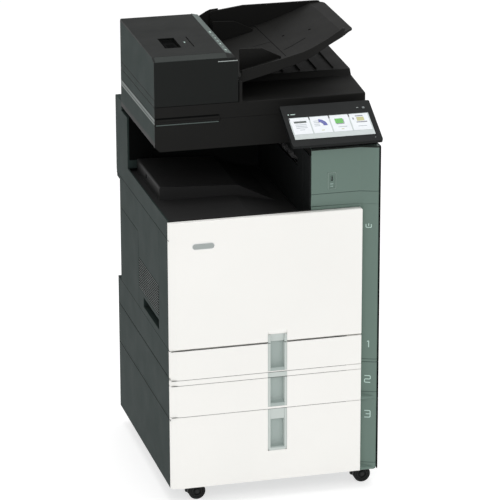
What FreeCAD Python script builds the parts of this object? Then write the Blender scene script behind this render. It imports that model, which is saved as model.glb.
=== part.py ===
import FreeCAD, Part
import math
import os

# A floor-standing colour copier: a cabinet on casters with a deep drawer, a second drawer unit,
# the main unit with its own drawer, front door and output space, and a scanner with a sheet
# feeder on top.  Millimetres.  The origin is on the floor under the middle of the machine,
# +X to the viewer's right, +Y to the back, +Z up.

V = FreeCAD.Vector
os.makedirs("parts", exist_ok=True)

# Overall size
WIDTH = 615.0
HALF = WIDTH / 2
FRONT_Y = -331.5          # plane of the white fronts
LOWER_BACK_Y = 351.5      # back of the three drawer levels
UPPER_BACK_Y = 308.5      # back of the main unit above them
SCANNER_FRONT_Y = -171.5
SCANNER_BACK_Y = 268.5

# Heights above the floor
CABINET_Z = 54.0
UNIT_2_Z = 274.4
TRAY_2_TOP_Z = 369.2
MAIN_Z = 386.4
DRAWER_TOP_Z = 473.6      # top of the tray 1 front
DOOR_Z = 475.6
SIDE_SEAM_Z = 804.0
DOOR_TOP_Z = 855.2
COLUMN_Z = 865.4
COLUMN_TOP_Z = 1034.5
SCANNER_Z = 1016.0
SCANNER_TOP_Z = 1102.0
COVER_Z = 1102.6          # underside of the document cover
LID_Z = 1147.2            # lower edge of the feeder's lid

# Walls and gaps
WALL = 3.0
SHEET = 2.0               # steel shells of the two lower units
COVER_WALL = 4.0
FRONT_GAP = 1.4           # between one white front and the next
SEAM = 0.4
FRONT_DEPTH = 16.0        # depth of a white front at its edges
BODY_FRONT_Y = FRONT_Y + FRONT_DEPTH + SEAM
PIN_PLAY = 0.05           # radial play of a pin in its bore

# Across the front
FRONT_RIGHT_X = 255.2     # right edge of the white fronts
STRIP_X = 255.8           # left edge of the green strip
STRIP_FACE_Y = -315.5     # face of the strip at its left edge, and of the column
STRIP_KNEE_X = 295.0      # where the strip's face reaches the front plane
EDGE_X = HALF - 4.0       # left side of the dark edge beside the strip
EDGE_Y = FRONT_Y + 0.5
STRIP_RIGHT_X = EDGE_X - 0.4
COLUMN_BEND_X = 250.0     # where the column's face starts to come forward
CORNER_RADIUS = 16.0      # round corner at the foot of the strip
COLUMN_X = 108.6          # left edge of the green column
GRIP_X = (-22.0, 34.5)    # pocket for the grip insert
GRIP_DEPTH = 20.0

# Drawers
BIN_X = (-290.0, 240.0)
BIN_Y = (-309.5, 250.0)
PARTITION_X = (250.0, 253.0)
PAPER_Y = -30.0           # middle of the paper stack
GUIDE_OUT = 160.0         # side guides from the middle of the stack
GUIDE_X = (-118.0, -62.0)
RAIL_RISE = 12.0          # rail above the bottom of the bin

# Casters
WHEEL_RADIUS = 25.0
WHEEL_INNER_Y = 7.0
WHEEL_OUTER_Y = 21.0
CASTER_TRAIL = 25.0
CASTER_X = (-248.0, 248.0)
CASTER_Y = (-271.5, 290.0)
STEM_RADIUS = 6.0
BOSS_TOP_Z = CABINET_Z + 14

# Stabiliser holes in the cabinet's floor
STABILISER_X = (-180.0, 180.0)
STABILISER_Y = (-240.0, 260.0)
STABILISER_HOLE = 5.5

# Front door hinge
HINGE_RADIUS = FRONT_DEPTH / 2
DOOR_AXIS_Y = FRONT_Y + HINGE_RADIUS
DOOR_AXIS_Z = DOOR_Z + HINGE_RADIUS
DOOR_HINGE_X = (-240.0, 180.0)

# Power socket and switch, in a pocket of the rear cover
POWER_X = (150.0, 270.0)
POWER_Z = (402.0, 458.0)
POWER_INNER_X = (POWER_X[0] + WALL, POWER_X[1] - WALL)
POWER_INNER_Z = (POWER_Z[0] + WALL, POWER_Z[1] - WALL)
INLET_X = (160.0, 208.0)
INLET_Z = (416.0, 444.0)
SWITCH_X = (226.0, 250.0)
SWITCH_Z = (416.0, 444.0)
SWITCH_AXIS = (LOWER_BACK_Y - 14, 430.0)      # Y and Z

# Toner cartridges behind the front door
TONER_X = (-210.0, -110.0, -10.0, 90.0)
TONER_Z = 742.0
TONER_RADIUS = 38.0

# Left side of the main unit
VENT_Y = (-195.5, 60.0)
VENT_Z = (537.0, 630.0)
RECESS_Y = (-196.5, 3.5)                           # finger recess for carrying
RECESS_Z = (495.0, 525.0)

# Door in the right side
SIDE_DOOR_Y = (-200.0, 194.0)
SIDE_DOOR_Z = (487.0, 833.0)
SIDE_AXIS = (301.5, 188.0)                         # its hinge, X and Y

# Paper exit
EXIT_AXIS = (114.0, 962.0)                         # exit roller, X and Z
EXIT_Y = 173.0                                     # half length of the exit slot
TOWER_X = (112.0, 115.0)

# Output space
PLATFORM_X = (-280.0, -50.0)
PLATFORM_Y = (-101.5, 190.0)

# USB socket in the column
USB_X = 169.0
USB_Z = 944.5

# Tray for single sheets in the right door
BYPASS_Y = (-160.0, 120.0)
BYPASS_Z = (560.0, 760.0)
BYPASS_AXIS = (HALF - 3.5, BYPASS_Z[0] + 3.5)      # X and Z

# Scanner glass and carriage
GLASS_X = (-235.0, 215.0)
GLASS_Y = (-130.0, 200.0)
GLASS_THICK = 4.0
FLOOR = 7.0                                        # bottom of the document cover
PAD_THICK = 3.4                                    # how far the white pad is let into it
CARRIAGE_ROD = (60.0, 1046.0)                      # Y and Z
LIFT_RECESS_X = -117.0                             # right end of the recess for lifting the cover
COVER_AXIS = (278.0, 1106.0)                       # hinge of the document cover, Y and Z
COVER_HINGE_X = (-180.0, 180.0)

# Sheet feeder
FEEDER_X = (-HALF, -57.0)
CHASSIS_X = (-262.0, -82.0)
CHASSIS_FRONT_Y = (-160.0, -154.0)
CHASSIS_REAR_Y = (251.0, 257.0)
LID_AXIS = (-300.0, 1180.0)                        # X and Z
LID_RIGHT_X = -65.0
PILLAR_X = (-62.0, -53.5)                          # post of the cover at the lid's right end
LID_GAP = 1.4                                      # lets the lid's lower corner swing past the base
TRAY_AXIS = (-66.0, 1200.0)                        # hinge of the input tray, X and Z
ROLLER_AXIS = (-112.0, 1232.0)                     # feed roller, X and Z

# Neck under the control panel
NECK_X = (112.0, 302.0)
PANEL_AXIS = (-214.0, 1090.0)                      # Y and Z
SWITCH_TILT = -9.0                                 # degrees

# Control panel, a plate tilted up from its front edge
PANEL_X = (45.0, 307.5)
PANEL_EDGE = V(0, -351.5, 1058.0)
PANEL_TILT = 27.7         # degrees
PANEL_LENGTH = 164.0
PANEL_THICK = 14.0
SCREEN_X = (58.0, 292.0)
SCREEN_ALONG = (26.0, 114.0)
SCREEN_THICK = 3.0
BUTTON_PLACE = (283.0, 134.0)                      # across and up the panel
BUTTON_RADIUS = 4.0
BUTTON_RISE = 1.8

# Input tray for originals: its paper surface, as points across the machine
TRAY_LINE = [(-76.0, 1206.0), (-48.0, 1213.0), (60.0, 1240.0), (130.0, 1258.0), (205.0, 1284.0),
             (262.0, 1307.0),
             (HALF, 1310.0)]
TRAY_Y = (-146.5, 263.5)
ORIGINAL_GUIDE_X = (-43.0, 78.0)


# --- Shape helpers -------------------------------------------------------------------------

def box(x, y, z):
    """Box from three (low, high) pairs."""
    return Part.makeBox(x[1] - x[0], y[1] - y[0], z[1] - z[0], V(x[0], y[0], z[0]))


def rod(radius, axis, low, high, centre):
    """Cylinder along axis from low to high; centre is its place in the two other axes."""
    direction = {"x": V(1, 0, 0), "y": V(0, 1, 0), "z": V(0, 0, 1)}[axis]
    return Part.makeCylinder(radius, high - low, place(axis, centre[0], centre[1], low), direction)


def place(axis, a, b, level):
    """Point at level along axis, with a and b along the two other axes in x, y, z order."""
    if axis == "x":
        return V(level, a, b)
    if axis == "y":
        return V(a, level, b)
    return V(a, b, level)


def corner_points(before, corner, after):
    """Start, middle and end of the arc that rounds a corner, or the corner alone."""
    at = V(corner[0], corner[1], 0)
    if len(corner) < 3:
        return [at]
    back = (V(before[0], before[1], 0) - at).normalize()
    ahead = (V(after[0], after[1], 0) - at).normalize()
    half_angle = back.getAngle(ahead) / 2
    reach = corner[2] / math.tan(half_angle)
    inward = (back + ahead).normalize()
    centre = at + inward * (corner[2] / math.sin(half_angle))
    return [at + back * reach, centre - inward * corner[2], at + ahead * reach]


def prism(corners, axis, low, high):
    """Closed outline swept along axis; a corner is (a, b), or (a, b, radius) where rounded."""
    count = len(corners)
    rounds = []
    for index, corner in enumerate(corners):
        rounds.append(corner_points(corners[index - 1], corner, corners[(index + 1) % count]))
    edges = []
    for index, points in enumerate(rounds):
        spots = [place(axis, point.x, point.y, low) for point in points]
        if len(spots) == 3:
            edges.append(Part.Arc(*spots).toShape())
        following = rounds[(index + 1) % count][0]
        next_spot = place(axis, following.x, following.y, low)
        if spots[-1].distanceToPoint(next_spot) > 1e-6:
            edges.append(Part.makeLine(spots[-1], next_spot))
    face = Part.Face(Part.Wire(edges))
    return face.extrude(place(axis, 0, 0, high - low))


def join(*shapes):
    return shapes[0].fuse(list(shapes[1:])).removeSplitter()


def cut(shape, *tools):
    return shape.cut(list(tools))


def open_box(x, y, z, wall, open_sides):
    """Box with walls all round, without those on the sides named, such as '+z'."""
    inner = []
    for name, (low, high) in (("x", x), ("y", y), ("z", z)):
        low_inner = low - 1 if "-" + name in open_sides else low + wall
        high_inner = high + 1 if "+" + name in open_sides else high - wall
        inner.append((low_inner, high_inner))
    return cut(box(x, y, z), box(*inner))


def save(name, shape):
    """Write one node."""
    if not shape.isValid():
        raise ValueError(name + " is not a valid shape")
    shape.exportStep("parts/" + name + ".step")


# --- Casters -------------------------------------------------------------------------------

def make_caster(name, swivel_x, y):
    """Twin-wheel caster: the fork with its stem, and the pair of wheels trailing towards +X."""
    wheel_x = swivel_x + CASTER_TRAIL
    hood_radius = WHEEL_RADIUS + 3
    centre = (wheel_x, WHEEL_RADIUS)
    web = prism([(swivel_x - STEM_RADIUS, 20), (swivel_x + STEM_RADIUS, 16), (wheel_x + 7, 17, 4),
                 (wheel_x + 7, 33, 4), (swivel_x + 12, 52), (swivel_x - STEM_RADIUS, 52)],
                "y", y - 5, y + 5)
    hood = cut(rod(hood_radius, "y", y - 22, y + 22, centre),
               rod(WHEEL_RADIUS + 1, "y", y - 23, y + 23, centre),
               box((wheel_x - 40, wheel_x + 40), (y - 30, y + 30), (-10, 22)),
               box((wheel_x + 8, wheel_x + 40), (y - 30, y + 30), (0, 60)))
    stem = rod(STEM_RADIUS, "z", 30, BOSS_TOP_Z + 1, (swivel_x, y))
    clip = rod(STEM_RADIUS + 3, "z", BOSS_TOP_Z + 0.5, BOSS_TOP_Z + 3, (swivel_x, y))
    axle = rod(4, "y", y - WHEEL_OUTER_Y - 1, y + WHEEL_OUTER_Y + 1, centre)
    save("caster_fork_" + name, join(web, hood, stem, clip, axle))
    wheels = []
    for side in (-1, 1):
        near, far = sorted((y + side * WHEEL_INNER_Y, y + side * WHEEL_OUTER_Y))
        tyre = rod(WHEEL_RADIUS, "y", near, far, centre)
        rims = [edge for edge in tyre.Edges if abs(edge.Length - 2 * math.pi * WHEEL_RADIUS) < 0.1]
        tyre = tyre.makeFillet(2.5, rims)
        outer = y + side * WHEEL_OUTER_Y
        dish_y = sorted((outer - side * 3, outer + side))
        dish = cut(rod(17, "y", dish_y[0], dish_y[1], centre), rod(8, "y", dish_y[0], dish_y[1], centre))
        wheels.append(cut(tyre, dish, rod(4 + PIN_PLAY, "y", near - 1, far + 1, centre)))
    save("caster_wheels_" + name, Part.makeCompound(wheels))


def make_casters():
    for depth_name, y in zip(("front", "rear"), CASTER_Y):
        for side_name, x in zip(("left", "right"), CASTER_X):
            make_caster(depth_name + "_" + side_name, x, y)


# --- Drawers -------------------------------------------------------------------------------

def front_outline(inset):
    """White front seen from above, its left edge curving back to the side of the machine."""
    left = -HALF + inset
    face = FRONT_Y + inset
    back = FRONT_Y + FRONT_DEPTH
    return [(left, back), (left, face + 8.5, 6), (left + 24.5, face, 50),
            (FRONT_RIGHT_X - inset, face, 1.5), (FRONT_RIGHT_X - inset, back)]


def make_front(name, z, grip_z):
    """Hollow white front with a pocket for its grip insert and a back plate for the bin."""
    skin = prism(front_outline(0), "z", z[0], z[1])
    hollow = prism(front_outline(WALL), "z", z[0] + WALL, z[1] - WALL)
    back_y = FRONT_Y + FRONT_DEPTH
    plate = box(BIN_X, (back_y - 2, BIN_Y[0]), (z[0] + 7, z[1] - 7))
    casing_z = (max(grip_z[0] - 3, z[0]), min(grip_z[1] + 3, z[1]))
    casing = box((GRIP_X[0] - 3, GRIP_X[1] + 3), (FRONT_Y + 1, back_y), casing_z)
    pocket = box(GRIP_X, (FRONT_Y - 1, FRONT_Y + GRIP_DEPTH), grip_z)
    save(name, cut(join(cut(skin, hollow), plate, casing), pocket))


def make_bin(name, z, split=False):
    """Open bin with a runner on each side and a low edge where the paper leaves."""
    bin_shape = open_box(BIN_X, BIN_Y, z, WALL, "+z")
    runner_z = (z[0] + RAIL_RISE + 6, z[0] + RAIL_RISE + 12)
    parts = [bin_shape]
    parts.append(box((BIN_X[0] - 6, BIN_X[0]), (BIN_Y[0] + 10, BIN_Y[1]), runner_z))
    parts.append(box((BIN_X[1], BIN_X[1] + 6), (BIN_Y[0] + 10, BIN_Y[1]), runner_z))
    if split:
        parts.append(box((-27, -24), (BIN_Y[0] + WALL, BIN_Y[1] - WALL), (z[0] + WALL, z[1] - 20)))
    feed_gap = box((BIN_X[1] - WALL - 1, BIN_X[1] + 1), (PAPER_Y - 140, PAPER_Y + 140),
                   (z[1] - 14, z[1] + 1))
    save(name, cut(join(*parts), feed_gap))


def make_lift_plate(name, floor_z, end_slot):
    """Plate under the stack, notched for the side guides and slotted for the end guide."""
    z = (floor_z + 2, floor_z + 4)
    plate = box((-270, 150), (PAPER_Y - 150, PAPER_Y + 150), z)
    notch_x = (GUIDE_X[0] - 7, GUIDE_X[1] + 7)
    tools = [box(notch_x, (PAPER_Y - 151, PAPER_Y - 70), (z[0] - 1, z[1] + 1)),
             box(notch_x, (PAPER_Y + 70, PAPER_Y + 151), (z[0] - 1, z[1] + 1))]
    if end_slot:
        tools.append(box((-271, -128), (PAPER_Y - 28, PAPER_Y + 28), (z[0] - 1, z[1] + 1)))
    for x in (-230, 110):
        tools.append(rod(12, "z", z[0] - 1, z[1] + 1, (x, PAPER_Y - 100)))
    save(name, cut(plate, *tools))


def make_side_guide(name, side, z):
    """Side guide: a plate against the stack, its foot on the bin floor, and a finger tab."""
    near = PAPER_Y + side * GUIDE_OUT
    plate_y = sorted((near, near + side * 3))
    foot_y = sorted((near, near + side * 24))
    plate = box(GUIDE_X, plate_y, z)
    foot = box(GUIDE_X, foot_y, (z[0], z[0] + 3))
    ribs = []
    for x in (GUIDE_X[0] + 6, GUIDE_X[1] - 9):
        corners = [(near, z[0]), (near + side * 22, z[0]), (near, z[1] - 10)]
        ribs.append(prism(corners, "x", x, x + 3))
    save(name, join(plate, foot, *ribs))


def make_end_guide(name, z):
    """Guide against the end of the stack."""
    x = -268
    plate = box((x, x + 3), (PAPER_Y - 24, PAPER_Y + 24), z)
    foot = box((x - 14, x + 3), (PAPER_Y - 24, PAPER_Y + 24), (z[0], z[0] + 3))
    rib = prism([(x - 12, z[0]), (x, z[0]), (x, z[1] - 8)], "y", PAPER_Y - 2, PAPER_Y + 2)
    save(name, join(plate, foot, rib))


def rails(bin_floor_z, left_x):
    """Fixed rails under a bin's runners, on the left wall and on the partition."""
    z = (bin_floor_z + RAIL_RISE, bin_floor_z + RAIL_RISE + 5.5)
    y = (BODY_FRONT_Y + 12, 300)
    return join(box((left_x, BIN_X[0] - 2.5), y, z),
                box((PARTITION_X[0] - 7.5, PARTITION_X[0]), y, z))


def make_drawers():
    tray_1_z = (393.0, 462.0)
    tray_2_z = (283.0, 360.0)
    tray_3_z = (75.0, 262.0)
    make_front("tray_1_front", (MAIN_Z + 0.4, DRAWER_TOP_Z), (389.5, DRAWER_TOP_Z + 1))
    make_front("tray_2_front", (UNIT_2_Z + 0.2, TRAY_2_TOP_Z), (280.5, TRAY_2_TOP_Z + 1))
    make_front("tray_3_front", (CABINET_Z, UNIT_2_Z + 0.2 - FRONT_GAP), (145.0, UNIT_2_Z + 1))
    for name, z in (("tray_1", tray_1_z), ("tray_2", tray_2_z)):
        floor_z = z[0] + WALL
        make_bin(name + "_bin", z)
        make_lift_plate(name + "_lift_plate", floor_z, name == "tray_1")
        make_side_guide(name + "_front_guide", -1, (floor_z + 0.5, floor_z + 55))
        make_side_guide(name + "_rear_guide", 1, (floor_z + 0.5, floor_z + 55))
    make_end_guide("tray_1_end_guide", (tray_1_z[0] + WALL + 0.5, tray_1_z[0] + 50))
    make_bin("tray_3_bin", tray_3_z, split=True)
    plates = []
    for x in ((-284, -30), (-21, 234)):
        plate = box(x, (PAPER_Y - 155, PAPER_Y + 155), (tray_3_z[0] + 5, tray_3_z[0] + 7))
        middle = (x[0] + x[1]) / 2
        plates.append(cut(plate, rod(14, "z", 0, 100, (middle, PAPER_Y))))
    save("tray_3_lift_plates", Part.makeCompound(plates))


# --- Cabinet and second drawer unit --------------------------------------------------------

def unit_shell(z, rail_z, floor_below):
    """Steel U-shaped shell, open at the front and top, with a partition beside the paper path."""
    shell = open_box((-HALF, HALF), (BODY_FRONT_Y, LOWER_BACK_Y), z, SHEET, "-y+z")
    right_recess = box((STRIP_X, HALF + 1), (BODY_FRONT_Y - 1, -299.6), (z[0] - 1, z[1] + 1))
    partition = box(PARTITION_X, (BODY_FRONT_Y + 8, LOWER_BACK_Y - SHEET), (z[0] + SHEET, z[1]))
    edge = prism([(EDGE_X, -299), (EDGE_X, EDGE_Y, 1.5), (HALF, EDGE_Y, 2.2), (HALF, -299)], "z", *z)
    shape = join(cut(shell, right_recess), edge, partition, rails(rail_z, -HALF + SHEET))
    return shape if floor_below is None else join(shape, *floor_below)


def foot_corner():
    """What a round corner takes away at the bottom right of the cabinet's front."""
    centre = (HALF - CORNER_RADIUS, CABINET_Z + CORNER_RADIUS)
    block = box((centre[0], HALF + 1), (FRONT_Y - 1, -299.6), (CABINET_Z - 1, centre[1]))
    return cut(block, rod(CORNER_RADIUS, "y", FRONT_Y - 2, -299, centre))


def make_cabinet():
    bosses = []
    bores = []
    for x in CASTER_X:
        for y in CASTER_Y:
            bosses.append(rod(STEM_RADIUS + 8, "z", CABINET_Z, BOSS_TOP_Z, (x, y)))
            bores.append(rod(STEM_RADIUS + PIN_PLAY, "z", CABINET_Z - 1, BOSS_TOP_Z + 1, (x, y)))
            bores.append(rod(STEM_RADIUS + 5, "z", BOSS_TOP_Z, BOSS_TOP_Z + 4, (x, y)))
    for x in STABILISER_X:
        for y in STABILISER_Y:
            bosses.append(rod(7, "z", CABINET_Z, CABINET_Z + 10, (x, y)))
            bores.append(rod(STABILISER_HOLE / 2, "z", CABINET_Z - 1, CABINET_Z + 11, (x, y)))
    shell = unit_shell((CABINET_Z, UNIT_2_Z - SEAM), 75.0, bosses)
    save("cabinet_shell", cut(shell, foot_corner(), *bores))


def make_unit_2():
    shell = unit_shell((UNIT_2_Z, MAIN_Z - SEAM), 283.0, None)
    beam = box((-HALF + SHEET, PARTITION_X[1]), (BODY_FRONT_Y, BODY_FRONT_Y + 12), (373, MAIN_Z - SEAM))
    save("tray_2_shell", join(shell, beam))
    rail_z = (TRAY_2_TOP_Z + FRONT_GAP, MAIN_Z + 0.4 - FRONT_GAP)
    band = prism(front_outline(0), "z", rail_z[0], rail_z[1])
    hollow = prism(front_outline(WALL), "z", rail_z[0] + WALL, rail_z[1] - WALL)
    inset = box(GRIP_X, (FRONT_Y - 1, FRONT_Y + 2), (rail_z[0] - 1, rail_z[1] + 1))
    save("tray_2_front_rail", cut(band, hollow, inset))


# --- Green edge strips ---------------------------------------------------------------------

def strip_outline(inset):
    """Strip seen from above: deep at its left edge, level with the fronts at its right."""
    left = STRIP_X + inset
    right = STRIP_RIGHT_X - inset
    return [(left, -300), (left, STRIP_FACE_Y + inset), (STRIP_KNEE_X, FRONT_Y + inset, 16),
            (right, FRONT_Y + inset, 3.5 - inset), (right, -300)]


def strip(z, ledge):
    """Hollow strip with a ledge at its foot that comes out to the front plane."""
    skin = cut(prism(strip_outline(0), "z", z[0], z[1]), prism(strip_outline(WALL), "z", z[0] - 1, z[1] + 1))
    parts = [skin]
    if ledge:
        radius = 0.15 * ledge
        corners = [(-312, z[0]), (FRONT_Y, z[0], radius), (FRONT_Y, z[0] + 0.4 * ledge, radius),
                   (-312, z[0] + ledge)]
        parts.append(prism(corners, "x", STRIP_X, STRIP_KNEE_X))
    parts.append(prism(strip_outline(0), "z", z[0], z[0] + WALL))
    return join(*parts)


def make_strips():
    foot_z = (CABINET_Z, CABINET_Z + CORNER_RADIUS + 4)
    foot = prism(strip_outline(0), "z", *foot_z).common(box((HALF - 22, HALF), (FRONT_Y, -300), foot_z))
    save("cabinet_strip", cut(join(strip((CABINET_Z, UNIT_2_Z - SEAM), 20), foot), foot_corner()))
    save("tray_2_strip", strip((UNIT_2_Z, MAIN_Z - SEAM), 20))
    top_z = COLUMN_Z - SEAM
    back_y = STRIP_FACE_Y + 6
    band = box((COLUMN_X, STRIP_X + WALL), (STRIP_FACE_Y, back_y), (DOOR_TOP_Z + 1, top_z))
    behind_door = box((236, STRIP_X + 2), (STRIP_FACE_Y + 0.5, back_y - 1), (838, DOOR_TOP_Z + 3))
    save("main_strip", join(strip((MAIN_Z, top_z), 0), band, behind_door))


# --- Main unit: frame ----------------------------------------------------------------------



def make_main_frame():
    """Sheet-steel frame inside the covers, with the drawer rails, door hinges and shelves."""
    left = (-HALF + COVER_WALL + SEAM, -HALF + COVER_WALL + SEAM + WALL)
    right = (300.0, 303.0)
    parts = [
        box((left[0], PARTITION_X[1]), (BODY_FRONT_Y + 10, 347), (MAIN_Z, MAIN_Z + WALL)),
        box((PARTITION_X[0], right[1]), (-299.4, 347), (MAIN_Z, MAIN_Z + WALL)),
        box(left, (BODY_FRONT_Y + 10, 293), (MAIN_Z, 847)),
        box(PARTITION_X, (BODY_FRONT_Y + 10, 290), (MAIN_Z, 480)),
        box((left[0], right[1]), (-300, 293), (477, 480)),
        box((left[0], PARTITION_X[1]), (-300, -297), (477, 803)),
        box((left[0], right[1]), (290, 293), (MAIN_Z, 803)),
        box((left[0], right[1]), (-300, 293), (800, 803)),
        box((-270, 150), (-297, 290), (562, 565)),
        box((-270, 150), (-297, 290), (696, 699)),
        box((150, 153), (-297, 290), (480, 800)),
        box((190, 290), (-297, 290), (682, 685)),
        box(TOWER_X, (-297, 262), (800, 1015)),
        box((300, 303), (-297, 290), (800, 1015)),
        box((TOWER_X[0], 303), (259, 262), (800, 1015)),
        rails(393.0, left[1]),
    ]
    for side in (-1, 1):
        y = sorted((side * EXIT_Y, side * (EXIT_Y + 8)))
        parts.append(box((109, 124), y, (EXIT_AXIS[1] - 12, EXIT_AXIS[1] + 12)))
    pins = []
    for x in DOOR_HINGE_X:
        parts.append(box((x - 6, x + 6), (DOOR_AXIS_Y, -297), (DOOR_AXIS_Z - 4.5, DOOR_AXIS_Z + 4.5)))
        parts.append(rod(4.5, "x", x - 6, x + 6, (DOOR_AXIS_Y, DOOR_AXIS_Z)))
        pins.append(rod(3, "x", x - 15, x + 15, (DOOR_AXIS_Y, DOOR_AXIS_Z)))
    arm_y = (SIDE_AXIS[1] - 5, SIDE_AXIS[1] + 5)
    for arm_z, pin_z in (((478, 485.5), (485, 497)), ((834.5, 842), (823, 835))):
        parts.append(box((270, 303), arm_y, arm_z))
        pins.append(rod(1.9, "z", pin_z[0], pin_z[1], SIDE_AXIS))
    tools = [
        rod(4 + PIN_PLAY, "y", -EXIT_Y - 7.5, EXIT_Y + 7.5, EXIT_AXIS),
        box((100, 120), (-EXIT_Y, EXIT_Y), (EXIT_AXIS[1] - 14, EXIT_AXIS[1] + 14)),
        box((left[0] - 1, left[1] + 1), (VENT_Y[0] - 4, VENT_Y[1] + 4), (VENT_Z[0] - 4, VENT_Z[1] + 4)),
        box((left[0] - 1, left[1] + 1), (RECESS_Y[0] - 3, RECESS_Y[1] + 3),
            (RECESS_Z[0] - 3, RECESS_Z[1] + 3)),
        box((-268, 148), (-301, -296), (500, 561)),
        box((-268, 148), (-301, -296), (566, 695)),
        box((294, 304), (SIDE_DOOR_Y[0] - 2, SIDE_DOOR_Y[1] + 3), (SIDE_DOOR_Z[0] - 1, SIDE_DOOR_Z[1] + 1)),
    ]
    for x in TONER_X:
        tools.append(rod(TONER_RADIUS + 3, "y", -301, -296, (x, TONER_Z)))
    save("main_frame", join(cut(join(*parts), *tools), *pins))


# --- Main unit: covers ---------------------------------------------------------------------

def groove(axis, along, across):
    """Thin cutting box for a seam line on the left cover, running along Y or Z."""
    depth = (-HALF - 1, -HALF + 0.8)
    half = 0.5
    if axis == "y":
        return box(depth, along, (across - half, across + half))
    return box(depth, (across - half, across + half), along)


def make_left_cover():
    x = (-HALF, -HALF + COVER_WALL)
    plate = prism([(BODY_FRONT_Y, MAIN_Z), (LOWER_BACK_Y, MAIN_Z), (LOWER_BACK_Y, 475),
                   (UPPER_BACK_Y, 475), (UPPER_BACK_Y, SIDE_SEAM_Z - SEAM), (BODY_FRONT_Y,
                                                                             SIDE_SEAM_Z - SEAM)],
                  "x", x[0], x[1])
    cup = open_box((-HALF + 1, -HALF + 28), (RECESS_Y[0] - 2, RECESS_Y[1] + 2),
                   (RECESS_Z[0] - 2, RECESS_Z[1] + 2), 2, "-x")
    tools = [
        box((x[0] - 1, x[1] + 1), VENT_Y, VENT_Z),
        box((x[0] - 1, -HALF + 26), RECESS_Y, RECESS_Z),
        groove("y", (-206.5, UPPER_BACK_Y + 1), 475),
        groove("z", (475, SIDE_SEAM_Z), -206.5),
        groove("y", (66, UPPER_BACK_Y + 1), 708),
        groove("z", (475, 708), 66),
    ]
    body = cut(join(plate, cup), *tools)
    slats = []
    count = 9
    pitch = (VENT_Z[1] - VENT_Z[0]) / count
    for index in range(count):
        z = VENT_Z[0] + index * pitch
        corners = [(x[0] + 0.6, z + 0.5), (x[0] + 0.6, z + 3), (x[1] + 2.5, z + pitch + 1),
                   (x[1] + 2.5, z + pitch - 1.5)]
        slats.append(prism(corners, "y", VENT_Y[0] - 1, VENT_Y[1] + 1))
    middle = (VENT_Y[0] + VENT_Y[1]) / 2
    for y in (VENT_Y[0] - 2, middle - 1.5, VENT_Y[1] - 1):
        slats.append(box((x[1] - 0.5, x[1] + 2.5), (y, y + 3), (VENT_Z[0] - 2, VENT_Z[1] + 2)))
    save("left_cover", join(body, *slats))


def make_left_upper_cover():
    """Side band along the output space, and the hollow rear post that carries the scanner."""
    band = box((-HALF, -HALF + COVER_WALL), (BODY_FRONT_Y, 194), (SIDE_SEAM_Z, 859))
    band_rear = box((-HALF, -HALF + COVER_WALL), (194, UPPER_BACK_Y + 1), (SIDE_SEAM_Z, 860))
    post_x = (-HALF, -235)
    corners = [(193.5, 859.4), (193.5, 1015.4), (269.2, 1015.4), (269.2, 1045, 8), (LOWER_BACK_Y, 1045, 8),
               (LOWER_BACK_Y, 815, 12), (343, 793, 4), (UPPER_BACK_Y + SEAM, 793), (UPPER_BACK_Y + SEAM,
                                                                                    859.4)]
    inner = [(196.5, 862.4), (196.5, 1012.4), (272.2, 1012.4), (272.2, 1042, 5), (LOWER_BACK_Y - 3, 1042, 5),
             (LOWER_BACK_Y - 3, 815.6, 12), (341, 796, 4), (UPPER_BACK_Y + 3.4, 796), (UPPER_BACK_Y + 3.4,
                                                                                       862.4)]
    post = cut(prism(corners, "x", post_x[0], post_x[1]), prism(inner, "x", post_x[0] + 3, post_x[1] - 3))
    save("left_upper_cover", join(band, band_rear, post))


def make_right_cover():
    x = (HALF - COVER_WALL, HALF)
    step_y = SCANNER_FRONT_Y - SEAM
    plate = prism([(EDGE_Y, MAIN_Z), (LOWER_BACK_Y, MAIN_Z), (LOWER_BACK_Y, 475), (UPPER_BACK_Y, 475),
                   (UPPER_BACK_Y, 1015.4), (step_y, 1015.4), (step_y, COLUMN_TOP_Z), (EDGE_Y, COLUMN_TOP_Z)],
                  "x", x[0], x[1])
    rounding = prism([(x[0], UPPER_BACK_Y + 90), (x[0], EDGE_Y, 1.5), (x[1], EDGE_Y, 2.2),
                      (x[1], UPPER_BACK_Y + 90)],
                     "z", MAIN_Z, COLUMN_TOP_Z)
    opening = box((x[0] - 1, x[1] + 1), (SIDE_DOOR_Y[0] - 1, SIDE_DOOR_Y[1] + 1.5),
                  (SIDE_DOOR_Z[0] - 1, SIDE_DOOR_Z[1] + 1))
    save("right_cover", cut(plate.common(rounding), opening))


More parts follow.
